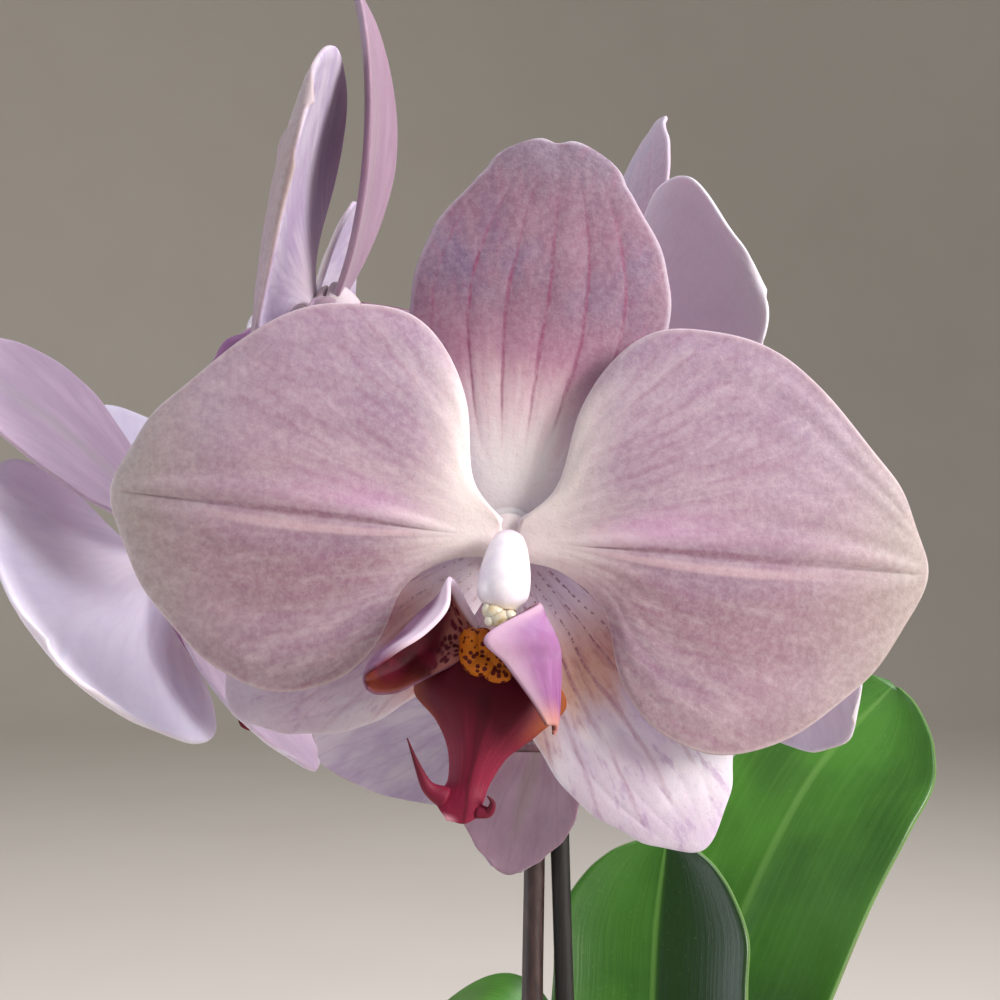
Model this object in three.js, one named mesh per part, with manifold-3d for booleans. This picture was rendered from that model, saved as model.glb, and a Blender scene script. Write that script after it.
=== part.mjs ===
// A potted miniature moth orchid, in millimetres, +Z up.
// The origin is the middle of the pot's underside. The front bloom faces -Y, and +X is to its right as seen.
// A plain ceramic pot is filled with bark. A short crown stands in it and carries the leaves, the aerial roots
// and one flower spike, which is clipped to a thin stake and holds six blooms on stalks of their own.
import * as THREE from "three";
import { mergeVertices } from "three/addons/utils/BufferGeometryUtils.js";
import Module from "manifold-3d";

const wasm = await Module();
wasm.setup();

// Driving dimensions
const GAP = 0.3;
const POT = { height: 84, rim: 46, foot: 33, wall: 4, floor: 5, segments: 32 };
const BARK = { top: 74, chips: 24, chipLength: 15, chipWidth: 9, chipHeight: 5 };
const CROWN = { x: 3, y: 5, radius: 4.4, bottom: 52, top: 110 };
const STAKE_RADIUS = 1.2;
const SPIKE_RADIUS = 1.45;
const SPIKE_TIP_RADIUS = 1.0;
const STALK_RADIUS = 0.9;
const TEPAL_THICKNESS = 0.8;
const LIP_THICKNESS = 0.7;
const LEAF_THICKNESS = 1.3;
const ROOT_RADIUS = 2.1;
const SLIVER = 0.02;

const COLOURS = {
  pot: [0xe9e5dc, 0.25],
  bark: [0x5a3a24, 0.95],
  crown: [0x5f7a34, 0.6],
  leaf: [0x3f6e2a, 0.4],
  root: [0xa9b3a0, 0.8],
  spike: [0x3a2324, 0.5],
  stake: [0x16130f, 0.5],
  clip: [0x7d8f86, 0.4],
  sepal: [0xb98ba4, 0.6],
  petal: [0xc9a4b0, 0.6],
  lip: [0x7a1230, 0.45],
  column: [0xf2ecef, 0.35],
};

// Each station of a tepal's outline: place along its rib, then the upper and the lower edge as [along, across].
const PETAL_OUTLINE = [
  { rib: 0.6, upper: [0.8, 1.7], lower: [0.8, -1.5] },
  { rib: 5, upper: [3.8, 5.0], lower: [4.8, -2.2] },
  { rib: 9, upper: [5.3, 11.8], lower: [8.6, -5.2] },
  { rib: 13, upper: [8.6, 16.9], lower: [10.5, -10.8] },
  { rib: 18, upper: [14.5, 18.9], lower: [14.8, -15.2] },
  { rib: 23, upper: [21.5, 17.2], lower: [20.5, -15.9] },
  { rib: 28.2, upper: [27.8, 11.9], lower: [26.6, -13.1] },
  { rib: 32.6, upper: [32.4, 7.2], lower: [31.6, -8.4] },
  { rib: 35.6, upper: [35.0, 2.8], lower: [34.8, -3.2] },
];
const SEPAL_OUTLINE = [
  { rib: 0.5, upper: [0.7, 1.9], lower: [0.7, -1.9] },
  { rib: 6, upper: [5.8, 5.2], lower: [5.8, -5.2] },
  { rib: 12, upper: [12, 9.0], lower: [12, -9.0] },
  { rib: 18, upper: [18.2, 11.3], lower: [18.2, -11.3] },
  { rib: 24, upper: [24.2, 10.4], lower: [24.2, -10.4] },
  { rib: 29.6, upper: [29.8, 7.1], lower: [29.8, -7.1] },
  { rib: 34.5, upper: [33.6, 2.9], lower: [33.6, -2.9] },
];

// Tepals of one bloom: the rib's direction in degrees from the bloom's right, and how the outline is stretched.
const DORSAL = { angle: 82.5, length: 1.04, upper: 0.99, lower: 1.02, side: 1 };
const LATERALS = [
  { angle: -57.8, length: 0.945, upper: 0.8, lower: 0.67, side: 1 },
  { angle: 212, length: 0.84, upper: 0.84, lower: 0.66, side: -1 },
];
const PETALS = [
  { angle: -5, length: 1.02, upper: 1.02, lower: 1.03, side: 1 },
  { angle: 173, length: 0.97, upper: 0.98, lower: 0.94, side: -1 },
];

// The lip as nets of [right, up, forward] points from the bloom's middle, each row from one edge to the other.
const LEFT_LOBE = [
  [[-3.9, -9.8, 4.2], [-3.4, -9, 3.6], [-2.9, -8.1, 3.2], [-2.5, -6.9, 3.4]],
  [[-5.2, -10.4, 4.8], [-4.7, -8.9, 3], [-4, -6.8, 2.6], [-3.4, -5.4, 3.4]],
  [[-6.5, -11, 5.4], [-5.9, -8.7, 2.9], [-5.2, -5.4, 2.6], [-4.8, -3, 4.2]],
  [[-7.8, -11.6, 6], [-7.2, -9.3, 3.2], [-7.1, -6.1, 3.4], [-5, -5.3, 6.2]],
  [[-9.1, -12.1, 6.8], [-8.9, -10.4, 4.2], [-9, -8.1, 4.8], [-6.7, -7.2, 7.4]],
  [[-10.6, -12.1, 7.6], [-10.8, -11.1, 6], [-10.8, -9.5, 6.2], [-8.8, -8.5, 8.2]],
  [[-11.3, -11.6, 8.2], [-11.6, -11.3, 7.4], [-11.5, -10.6, 7.4], [-10.7, -9.9, 8.4]],
];
const RIGHT_LOBE = [
  [[1.1, -10.1, 4.2], [0.9, -9.2, 3.6], [0.6, -8.3, 3.2], [0.3, -7.3, 3.4]],
  [[2.5, -10.6, 4.8], [2.3, -9.1, 3], [2.1, -7.2, 2.8], [1.5, -5.7, 3.6]],
  [[3.2, -11.5, 5.4], [3.6, -9.2, 3.6], [2.9, -6.5, 4], [2.3, -5.2, 5.6]],
  [[3.6, -12.4, 6.2], [4, -10.4, 5], [3.2, -7.8, 7.1], [-1.9, -7.4, 9.4]],
  [[3.6, -13.4, 7], [3.9, -11.8, 6.4], [3.1, -9.6, 7.7], [-0.3, -9.6, 9.1]],
  [[3.6, -14.4, 8], [3.8, -13.3, 7.8], [3.3, -12.1, 8.6], [1.7, -12.3, 9.4]],
  [[3.6, -15.3, 8.6], [3.7, -14.9, 8.6], [3.6, -14.5, 9], [3, -14.4, 9.5]],
];
const MIDDLE_LOBE = [
  [[-4.3, -9.5, 3.6], [-1.6, -9.5, 4.2], [1.3, -9.8, 3.6]],
  [[-7.2, -11.2, 3.6], [-1.7, -11.7, 5.6], [3.9, -11.7, 3.8]],
  [[-7.7, -12.7, 3.6], [-1.9, -13.7, 6.4], [4.7, -13.9, 3.6]],
  [[-5.9, -14.7, 4.6], [-2.3, -15.5, 6.6], [2.3, -15.9, 5]],
  [[-4.9, -17, 5.2], [-2.7, -17.4, 6.6], [-0.1, -17.6, 5.4]],
  [[-4.9, -19.5, 5.6], [-3.2, -19.6, 6.6], [-1.5, -19.6, 5.8]],
  [[-5.9, -20.9, 6.6], [-3.4, -21.1, 7], [-2.1, -21.1, 6.4]],
  [[-5, -22.4, 7.2], [-3.7, -22.7, 7], [-2.6, -22.3, 6.6]],
];
const LEFT_TENDRIL = [[-5.2, -20.7, 6.6], [-6.5, -19.8, 7], [-7.3, -18, 7.6], [-8.1, -15.6, 8.4]];
const RIGHT_TENDRIL = [[-2.5, -21.8, 6.6], [-1.6, -21.8, 6.9], [-1.3, -21, 7.3], [-1.7, -20.4, 7.5]];
const TENDRIL_RADII = [0.75, 0.6, 0.45, 0.3];
const LIP_FOOT = [[-2.2, -9.4, 3.8], [-1.6, -7.8, 2.9], [-0.7, -6.5, 2.2], [-0.5, -5.6, 2.2]];
const LIP_FOOT_RADII = [1.3, 1.1, 0.95, 0.85];
const CALLUS = [
  { at: [-3.0, -9.0, 4.7], size: [1.1, 1.9, 1.5] },
  { at: [-0.9, -10.9, 5.0], size: [1.3, 0.9, 1.2] },
];
const COLUMN_PATH = [[0, -0.3, 1.95], [-0.1, -1.2, 3.3], [-0.3, -2.9, 4.4], [-0.5, -4.5, 5.0], [-0.6, -5.6, 5.2]];
const COLUMN_RADII = [1.0, 1.7, 2.15, 1.95, 1.0];
const COLUMN_FOOT = [[0, -1.4, 3.0], [-0.2, -3.2, 2.5], [-0.3, -4.9, 2.2]];
const COLUMN_FOOT_RADII = [1.1, 1.0, 0.85];
const POLLEN = [
  { at: [-1.2, -5.7, 6.0], size: [0.9, 0.7, 0.8] },
  { at: [-0.6, -6.2, 6.3], size: [1.0, 0.7, 0.7] },
];
const PETAL_SEAT = { radius: 2.5, back: -0.5, front: 1.1 };
const SEPAL_SEAT = { radius: 2.6, back: -4.2, front: -0.85, neck: 1.3 };

// Blooms: the place of the middle, and yaw, pitch and roll in degrees. Yaw 0 faces -Y. Hood sets how far the tip
// of the dorsal sepal bends forward. Lean turns it from its usual direction, and lift raises the left lateral sepal,
// both in degrees.
const BLOOMS = [
  { name: "front", at: [-7.3, -62, 199.6], turn: [0, 0, 0], size: 1, rows: 10, columns: 8, hood: -3.2 },
  { name: "left", at: [-44.4, -26.4, 197], turn: [-106.5, 36.6, 14.8], size: 0.95, rows: 6, columns: 4, hood: 0,
    lean: -20 },
  { name: "upper_left", at: [-26.9, -33.7, 223.4], turn: [-91.3, -11.6, -23], size: 0.97, rows: 6, columns: 4,
    hood: 5.5, lean: -21 },
  { name: "upper_right", at: [5.8, -18.3, 219], turn: [-72.3, -3.7, -7.3], size: 0.92, rows: 6, columns: 4,
    hood: -6, lean: 20 },
  { name: "right", at: [16.7, -5.9, 197.7], turn: [119.2, -11.8, -49.5], size: 0.914, rows: 6, columns: 4,
    hood: 0, lean: -20 },
  { name: "lower", at: [-2.4, -19.8, 180.2], turn: [167.4, -39.5, 15.7], size: 0.88, rows: 6, columns: 4,
    hood: 0, lean: 20, lift: 18 },
];

// Spike and stake, from the bark up
const SPIKE_PATH = [[2, 2, 90], [-2.4, -2.6, 99], [-3.7, -4.4, 118], [-3.9, -3.4, 140], [-3.6, -3, 167],
  [-4, -9, 180], [-7, -20, 194], [-10, -29, 207]];
const STAKE_FOOT = [3.8, -8.5, 12];
const STAKE_HEAD = [-1.2, -1.6, 186];
const CLIP = { height: 4, wall: 1, z: 166.5 };
// Where each stalk leaves the spike, as a share of its length, the point it swings through, and the length of its
// last part straight behind the bloom
const STALKS = {
  front: { from: 1.0, swing: [-16.9, -33.8, 203.5], straight: 7 },
  left: { from: 0.939, swing: [-26.2, -28.5, 201.4], straight: 7 },
  upper_left: { from: 0.903, swing: [-14.5, -32.2, 215.1], straight: 7 },
  upper_right: { from: 0.83, swing: [8.1, -19.5, 204.7], straight: 3 },
  right: { from: 0.764, swing: [4.9, -11.4, 193.6], straight: 3.5 },
  lower: { from: 0.87, swing: [-13.6, -26.4, 178.9], straight: 3.5 },
};

// Leaves: the rib's points, the widest half width, its shares at the last two stations, the arc in which the blade
// cups, and where its upper face looks
const LEAVES = [
  { rib: [[5.9, 9.0, 88], [13.5, 17.3, 108], [24.8, 28, 135], [39, 37, 159], [54, 43, 173.8]],
    half: 19.2, end: [0.87, 0.42], cup: 0.5, face: [-0.5, -0.8, 0.35] },
  { rib: [[5.5, 8.8, 101], [10.4, 12.8, 114], [12.9, 16.5, 128], [14.2, 21, 142], [16.2, 25, 154]],
    half: 14.2, end: [0.76, 0.38], cup: 0.6, face: [-0.25, -0.95, 0.15] },
  { rib: [[-2.6, 6.0, 93], [-6, 7.8, 110], [-7.4, 9.6, 125], [-11.5, 13, 132.6], [-20.5, 17, 127], [-31, 21, 114.5],
    [-42, 25, 99]], half: 12.5, end: [0.72, 0.26], cup: 0.4, face: [0.25, -0.05, 1] },
  { rib: [[-1.7, 2.9, 84], [-15, -3, 99], [-33, -10, 107], [-55, -19, 101], [-74, -27, 83]],
    half: 16, end: [0.72, 0.26], cup: 0.4, face: [0.1, 0, 1] },
  { rib: [[7.6, 2.4, 82], [20, -4, 97], [37, -13, 104], [56, -22, 98], [71, -30, 81]],
    half: 15, end: [0.72, 0.26], cup: 0.4, face: [-0.1, 0, 1] },
];
const LEAF_PROFILE = [0.28, 0.57, 0.8, 0.94, 1.0, 1.0, 0.99];
const LEAF_CLASP = 0.9;

// Aerial roots, from the crown's foot over the bark, one of them over the rim
const ROOTS = [
  [[0.3, -0.7, 78], [-8, -11, 84], [-17, -19, 84], [-23, -22, 76], [-25, -23, 64]],
  [[6.9, 9.1, 78], [17, 17, 86], [31, 26, 94], [43, 33, 88], [49, 37, 72], [50, 38, 60]],
  [[5.7, -0.3, 78], [12, -12, 84], [16, -22, 84], [18, -28, 76], [19, -30, 64]],
];

// Curves and thin sheets
function vector([x, y, z]) {
  return new THREE.Vector3(x, y, z);
}

function curve(points) {
  return new THREE.CatmullRomCurve3(points.map((p) => (p.isVector3 ? p : vector(p))), false, "catmullrom", 0.5);
}

// The point of a net of points at u down its rows and v across them, both from 0 to 1.
function netPoint(net, u, v) {
  const across = net[0].map((_, column) => curve(net.map((row) => row[column])).getPoint(u));
  return curve(across).getPoint(v);
}

function meshFrom(positions, triangles) {
  const geometry = new THREE.BufferGeometry();
  geometry.setAttribute("position", new THREE.Float32BufferAttribute(positions.flatMap((p) => [p.x, p.y, p.z]), 3));
  geometry.setIndex(triangles);
  return geometry;
}

// A closed blade of one thickness about the surface at(u, v). Both faces are split into triangles alike.
function blade(at, rows, columns, thickness) {
  const step = 1e-3;
  const faces = [[], []];
  for (let i = 0; i <= rows; i++) {
    for (let j = 0; j <= columns; j++) {
      const u = i / rows;
      const v = j / columns;
      const alongU = at(Math.min(u + step, 1), v).sub(at(Math.max(u - step, 0), v));
      const alongV = at(u, Math.min(v + step, 1)).sub(at(u, Math.max(v - step, 0)));
      const normal = alongU.cross(alongV).normalize().multiplyScalar(thickness / 2);
      faces[0].push(at(u, v).add(normal));
      faces[1].push(at(u, v).sub(normal));
    }
  }
  const count = faces[0].length;
  const triangles = [];
  const index = (i, j) => i * (columns + 1) + j;
  for (let i = 0; i < rows; i++) {
    for (let j = 0; j < columns; j++) {
      const [a, b, c, d] = [index(i, j), index(i + 1, j), index(i + 1, j + 1), index(i, j + 1)];
      triangles.push(a, b, c, a, c, d);
      triangles.push(count + a, count + c, count + b, count + a, count + d, count + c);
    }
  }
  const rim = [];
  for (let i = 0; i < rows; i++) rim.push(index(i, 0));
  for (let j = 0; j < columns; j++) rim.push(index(rows, j));
  for (let i = rows; i > 0; i--) rim.push(index(i, columns));
  for (let j = columns; j > 0; j--) rim.push(index(0, j));
  rim.forEach((a, k) => {
    const b = rim[(k + 1) % rim.length];
    triangles.push(a, count + b, b, a, count + a, count + b);
  });
  return meshFrom([...faces[0], ...faces[1]], triangles);
}

// A closed round rod along a path, with its radius given at each point of the path.
function rod(path, radii, steps, sides, grow = 0) {
  const line = curve(path);
  const sizes = new THREE.SplineCurve(radii.map((r, k) => new THREE.Vector2(k, r)));
  const { tangents, normals, binormals } = framesOf(line, steps);
  const centres = tangents.map((_, i) => line.getPoint(i / steps));
  centres[0].addScaledVector(tangents[0], -grow);
  centres[steps].addScaledVector(tangents[steps], grow);
  const positions = [centres[0]];
  centres.forEach((centre, i) => {
    const radius = sizes.getPoint(i / steps).y + grow;
    for (let k = 0; k < sides; k++) {
      const angle = (2 * Math.PI * k) / sides;
      const point = centre.clone();
      point.addScaledVector(normals[i], radius * Math.cos(angle));
      point.addScaledVector(binormals[i], radius * Math.sin(angle));
      positions.push(point);
    }
  });
  positions.push(centres[steps]);
  const last = positions.length - 1;
  const triangles = [];
  for (let k = 0; k < sides; k++) {
    const next = (k + 1) % sides;
    triangles.push(0, 1 + next, 1 + k);
    for (let i = 0; i < steps; i++) {
      const a = 1 + i * sides;
      triangles.push(a + k, a + next, a + sides + next, a + k, a + sides + next, a + sides + k);
    }
    triangles.push(last, 1 + steps * sides + k, 1 + steps * sides + next);
  }
  return meshFrom(positions, triangles);
}

// Tangent, normal and binormal at even steps of a curve's own parameter, turned as little as the bends allow.
function framesOf(line, steps) {
  const tangents = [];
  const normals = [];
  const binormals = [];
  let normal = new THREE.Vector3(1, 0, 0);
  for (let i = 0; i <= steps; i++) {
    const tangent = line.getTangent(i / steps);
    if (i === 0 && Math.abs(tangent.dot(normal)) > 0.9) normal = new THREE.Vector3(0, 1, 0);
    normal = normal.clone().addScaledVector(tangent, -tangent.dot(normal)).normalize();
    tangents.push(tangent);
    normals.push(normal);
    binormals.push(tangent.clone().cross(normal));
  }
  return { tangents, normals, binormals };
}

function ellipsoid({ at, size }, segments = 10) {
  const geometry = new THREE.SphereGeometry(1, segments, Math.round(segments * 0.7));
  const [right, up, forward] = size;
  const [x, z, out] = at;
  return geometry.applyMatrix4(new THREE.Matrix4().makeScale(right, forward, up)).translate(x, -out, z);
}

// Joining and cutting
function solidOf(geometry) {
  const bare = geometry.clone();
  bare.deleteAttribute("normal");
  bare.deleteAttribute("uv");
  const merged = mergeVertices(bare, 1e-5);
  const triVerts = new Uint32Array(merged.index.array);
  const solid = new wasm.Manifold(
    new wasm.Mesh({ numProp: 3, vertProperties: merged.attributes.position.array, triVerts }),
  );
  return solid;
}

function geometryOf(solid) {
  const { vertProperties, triVerts } = solid.asOriginal().simplify(SLIVER).getMesh();
  const geometry = new THREE.BufferGeometry();
  geometry.setAttribute("position", new THREE.Float32BufferAttribute(vertProperties, 3));
  geometry.setIndex(new THREE.BufferAttribute(triVerts, 1));
  return geometry;
}

function join(geometries) {
  return geometries.map(solidOf).reduce((whole, piece) => whole.add(piece));
}

// One tepal: the outline's stations as a net in the bloom's plane, then set forward by depth(u, v).
function tepal(outline, { angle, length, upper, lower, side }, depth) {
  const net = outline.map((station) => [
    [station.lower[0] * length, station.lower[1] * lower, 0],
    [station.rib * length, 0, 0],
    [station.upper[0] * length, station.upper[1] * upper, 0],
  ]);
  const turn = THREE.MathUtils.degToRad(angle);
  return (u, v) => {
    const flat = netPoint(net, u, v);
    const across = flat.y * side;
    const right = flat.x * Math.cos(turn) - across * Math.sin(turn);
    const up = flat.x * Math.sin(turn) + across * Math.cos(turn);
    return new THREE.Vector3(right, -depth(u, 2 * v - 1), up);
  };
}

// How far forward of the bloom's plane a tepal lies at u from base to tip and s across it, from -1 to 1.
function petalDepth(u, s) {
  const dome = 3.6 * Math.sin(Math.PI * Math.min(0.12 + 0.8 * u, 1)) - 0.9;
  const rim = -1.5 * s * s * Math.sin(Math.PI * u) - 1.6 * u * u;
  const ruffle = 0.45 * Math.abs(s) ** 3 * Math.sin(8 * u + 2 * s);
  return 0.3 + dome + rim + ruffle;
}

function sepalDepth(u, s, hood) {
  const arch = (hood < 0 ? 1.3 : -1.8) * Math.sin(Math.PI * u) + hood * u * u;
  const rim = -1.3 * s * s * Math.sin(Math.PI * u);
  return -1.7 + arch + rim;
}

// A round seat at the bloom's middle, as a lathe about the bloom's own axis.
function seat(profile) {
  return new THREE.LatheGeometry(profile.map(([radius, out]) => new THREE.Vector2(radius, out)), 9).rotateX(Math.PI);
}

function bloomSepals({ rows, columns, hood = -3.2, lean = 0, lift = 0 }) {
  const { radius, back, front, neck } = SEPAL_SEAT;
  const base = seat([[0, back], [neck, back], [radius, back + 2], [radius, front], [0, front]]);
  const dorsal = tepal(SEPAL_OUTLINE, { ...DORSAL, angle: DORSAL.angle + lean }, (u, s) => sepalDepth(u, s, hood));
  const laterals = LATERALS.map((spec, k) => {
    const angle = spec.angle - k * lift;
    return tepal(SEPAL_OUTLINE, { ...spec, angle }, (u, s) => sepalDepth(u, s, -3.2));
  });
  const blades = [dorsal, ...laterals].map((at) => blade(at, rows, columns, TEPAL_THICKNESS));
  return join([base, ...blades]);
}

function bloomPetals({ rows, columns }) {
  const { radius, back, front } = PETAL_SEAT;
  const base = seat([[0, back], [radius, back], [radius, front], [0, front]]);
  const blades = PETALS.map((spec) => blade(tepal(PETAL_OUTLINE, spec, petalDepth), rows, columns, TEPAL_THICKNESS));
  return join([base, ...blades]);
}

// A lip net's [right, up, forward] point in the bloom's axes
function inBloom([right, up, forward]) {
  return [right, -forward, up];
}

function bloomLip({ rows }) {
  const fine = rows > 8;
  const lobe = (net, down, over) => {
    const placed = net.map((row) => row.map(inBloom));
    return blade((u, v) => netPoint(placed, u, v), down, over, LIP_THICKNESS);
  };
  const tendril = (path) => rod(path.map(inBloom), TENDRIL_RADII, fine ? 5 : 3, 4);
  return join([
    lobe(MIDDLE_LOBE, fine ? 8 : 5, fine ? 4 : 2),
    lobe(LEFT_LOBE, fine ? 7 : 4, fine ? 5 : 2),
    lobe(RIGHT_LOBE, 6, fine ? 5 : 2),
    tendril(LEFT_TENDRIL),
    tendril(RIGHT_TENDRIL),
    rod(LIP_FOOT.map(inBloom), LIP_FOOT_RADII, 3, fine ? 6 : 4),
    ...CALLUS.slice(0, fine ? 2 : 1).map((lump) => ellipsoid(lump, fine ? 9 : 5)),
  ]);
}

function bloomColumn({ rows }) {
  const fine = rows > 8;
  return join([
    rod(COLUMN_PATH.map(inBloom), COLUMN_RADII, fine ? 7 : 4, fine ? 12 : 6),
    rod(COLUMN_FOOT.map(inBloom), COLUMN_FOOT_RADII, fine ? 2 : 1, fine ? 6 : 4),
    ...POLLEN.slice(0, fine ? 2 : 1).map((lump) => ellipsoid(lump, fine ? 8 : 5)),
  ]);
}

// Placing
const orchid = new THREE.Group();

function add(name, geometry, colour, parent = orchid) {
  const [hex, roughness] = COLOURS[colour];
  const material = new THREE.MeshStandardMaterial({ color: hex, roughness, metalness: 0 });
  const mesh = new THREE.Mesh(geometry, material);
  mesh.name = name;
  parent.add(mesh);
  return mesh;
}

function bloomFrame({ at, turn, size }) {
  const frame = new THREE.Group();
  const [yaw, pitch, roll] = turn.map(THREE.MathUtils.degToRad);
  frame.position.set(...at);
  frame.rotation.set(pitch, roll, yaw, "ZXY");
  frame.scale.setScalar(size);
  frame.updateMatrix();
  return frame;
}

for (const bloom of BLOOMS) {
  const frame = bloomFrame(bloom);
  add(`bloom_${bloom.name}_sepals`, geometryOf(bloomSepals(bloom)), "sepal", frame);
  add(`bloom_${bloom.name}_petals`, geometryOf(bloomPetals(bloom)), "petal", frame);
  add(`bloom_${bloom.name}_lip`, geometryOf(bloomLip(bloom)), "lip", frame);
  add(`bloom_${bloom.name}_column`, geometryOf(bloomColumn(bloom)), "column", frame);
  orchid.add(frame);
}

// Flower spike with a stalk to the back of each bloom
function stalk(bloom) {
  const { from, swing, straight } = STALKS[bloom.name];
  const { matrix } = bloomFrame(bloom);
  const end = new THREE.Vector3(0, -SEPAL_SEAT.back + GAP, 0).applyMatrix4(matrix);
  const before = new THREE.Vector3(0, -SEPAL_SEAT.back + straight, 0).applyMatrix4(matrix);
  const start = curve(SPIKE_PATH).getPoint(from);
  return rod([start, vector(swing), before, end], [STALK_RADIUS, STALK_RADIUS, STALK_RADIUS, 1.25], 7, 6);
}

const spikeRadii = [SPIKE_RADIUS, SPIKE_RADIUS, SPIKE_RADIUS, 1.35, 1.3, 1.25, 1.15, SPIKE_TIP_RADIUS];
const spike = join([rod(SPIKE_PATH, spikeRadii, 24, 7), ...BLOOMS.map(stalk)]);
add("flower_spike", geometryOf(spike), "spike");

const stakePath = [STAKE_FOOT, STAKE_HEAD];
add("stake", rod(stakePath, [STAKE_RADIUS, STAKE_RADIUS], 1, 8), "stake");

// Clip: a closed band round the spike and the stake
function clipBand() {
  const stakeShare = (CLIP.z - STAKE_FOOT[2]) / (STAKE_HEAD[2] - STAKE_FOOT[2]);
  const stakeAt = vector(STAKE_FOOT).lerp(vector(STAKE_HEAD), stakeShare);
  const spikeLine = curve(SPIKE_PATH);
  const spikeShares = Array.from({ length: 200 }, (_, k) => k / 199);
  const nearest = spikeShares.map((t) => spikeLine.getPoint(t));
  const spikeAt = nearest.reduce((a, b) => (Math.abs(a.z - CLIP.z) < Math.abs(b.z - CLIP.z) ? a : b));
  const heading = Math.atan2(stakeAt.y - spikeAt.y, stakeAt.x - spikeAt.x);
  const stadium = (radius, path) => {
    path.absarc(stakeAt.x, stakeAt.y, radius, heading - Math.PI / 2, heading + Math.PI / 2);
    path.absarc(spikeAt.x, spikeAt.y, radius, heading + Math.PI / 2, heading + (3 * Math.PI) / 2);
    path.closePath();
    return path;
  };
  const inner = SPIKE_RADIUS + 0.35;
  const band = stadium(inner + CLIP.wall, new THREE.Shape());
  band.holes.push(stadium(inner, new THREE.Path()));
  const shape = new THREE.ExtrudeGeometry(band, { depth: CLIP.height, bevelEnabled: false, curveSegments: 8 });
  return shape.translate(0, 0, CLIP.z - CLIP.height / 2);
}
add("clip", clipBand(), "clip");

// Leaves
function leafSurface({ rib, half, end, cup, face }) {
  const line = curve(rib);
  const shares = [...LEAF_PROFILE, ...end];
  const widths = new THREE.SplineCurve(shares.map((w, k) => new THREE.Vector2(k, w * half)));
  const facing = vector(face);
  return (u, v) => {
    const tangent = line.getTangent(u);
    const normal = facing.clone().addScaledVector(tangent, -facing.dot(tangent)).normalize();
    const bend = cup + (LEAF_CLASP - cup) * (1 - u) ** 6;
    const radius = widths.getPoint(u).y / bend;
    const s = 2 * v - 1;
    const crease = 0.9 * Math.exp(-((s / 0.1) ** 2)) * (1 - u);
    const point = line.getPoint(u);
    point.addScaledVector(normal.clone().cross(tangent), radius * Math.sin(s * bend));
    return point.addScaledVector(normal, radius * (1 - Math.cos(s * bend)) - crease);
  };
}

LEAVES.forEach((leaf, k) => {
  add(`leaf_${k + 1}`, blade(leafSurface(leaf), 10, 6, LEAF_THICKNESS), "leaf");
});

// Roots
const rootRadii = [ROOT_RADIUS, ROOT_RADIUS, ROOT_RADIUS, 1.9, 1.5];
ROOTS.forEach((path, k) => add(`root_${k + 1}`, rod(path, rootRadii, 9, 7), "root"));

// Crown, with a plain socket for the spike's foot
const crownPath = [CROWN.bottom, 70, 88, 99, CROWN.top].map((z) => [CROWN.x, CROWN.y, z]);
const crownRadii = [CROWN.radius, CROWN.radius, CROWN.radius * 0.95, CROWN.radius * 0.72, CROWN.radius * 0.35];
const crownRod = (grow) => solidOf(rod(crownPath, crownRadii, 8, 12, grow));
const spikeFoot = solidOf(rod(SPIKE_PATH, spikeRadii, 24, 7, GAP));
add("crown", geometryOf(crownRod(0).subtract(spikeFoot)), "crown");

// Pot: a plain tapered cup, turned about the origin
function potWall(z) {
  return POT.foot + ((POT.rim - POT.foot) * z) / POT.height;
}
const potProfile = [
  [0, 0], [POT.foot - 1.5, 0], [POT.foot, 1.5], [POT.rim - 0.8, POT.height - 1], [POT.rim - 1.2, POT.height],
  [POT.rim - POT.wall + 0.6, POT.height], [potWall(POT.height) - POT.wall, POT.height - 1],
  [potWall(POT.floor) - POT.wall, POT.floor], [0, POT.floor],
];
const lathe = (profile) => new THREE.LatheGeometry(profile.map(([r, z]) => new THREE.Vector2(r, z)), POT.segments);
add("pot", lathe(potProfile).rotateX(Math.PI / 2), "pot");

// Bark: one body of the pot's inner shape, its top covered in chips, with plain holes for what stands in it
function random(seed) {
  let state = seed;
  return () => {
    state = (state * 16807) % 2147483647;
    return state / 2147483647;
  };
}

function barkChips() {
  const draw = random(7);
  const reach = potWall(BARK.top) - POT.wall - 9.5;
  return Array.from({ length: BARK.chips }, (_, k) => {
    const distance = reach * Math.sqrt((k + 0.5) / BARK.chips);
    const angle = k * 2.39996;
    const chip = new THREE.BoxGeometry(
      BARK.chipLength * (0.6 + 0.4 * draw()),
      BARK.chipWidth * (0.7 + 0.3 * draw()),
      BARK.chipHeight,
    );
    chip.rotateX(0.5 * (draw() - 0.5)).rotateY(0.5 * (draw() - 0.5)).rotateZ(Math.PI * draw());
    return chip.translate(distance * Math.cos(angle), distance * Math.sin(angle), BARK.top - 0.6 + 1.2 * draw());
  });
}

const barkProfile = [
  [0, POT.floor + GAP],
  [potWall(POT.floor) - POT.wall - 2 * GAP, POT.floor + GAP],
  [potWall(BARK.top) - POT.wall - 2 * GAP, BARK.top],
  [0, BARK.top],
];
const barkBody = join([lathe(barkProfile).rotateX(Math.PI / 2), ...barkChips()]);
const inHoles = [
  crownRod(GAP),
  solidOf(rod(stakePath, [STAKE_RADIUS, STAKE_RADIUS], 1, 8, GAP)),
  ...ROOTS.map((path) => solidOf(rod(path, rootRadii, 9, 7, GAP))),
];
add("bark", geometryOf(inHoles.reduce((body, hole) => body.subtract(hole), barkBody)), "bark");

export default orchid;
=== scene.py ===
# %% [markdown]
# A potted miniature moth orchid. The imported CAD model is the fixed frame: it says where every piece stands and how
# big it is. Each leaf, bloom, stem, root, chip of bark and the pot is then grown again here in finer mesh, over the
# same curves, and given the colours and skin of the living plant.

# %% Load the frame
import math
import random

import bpy
import numpy as np
from mathutils import Euler, Matrix, Vector


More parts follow.
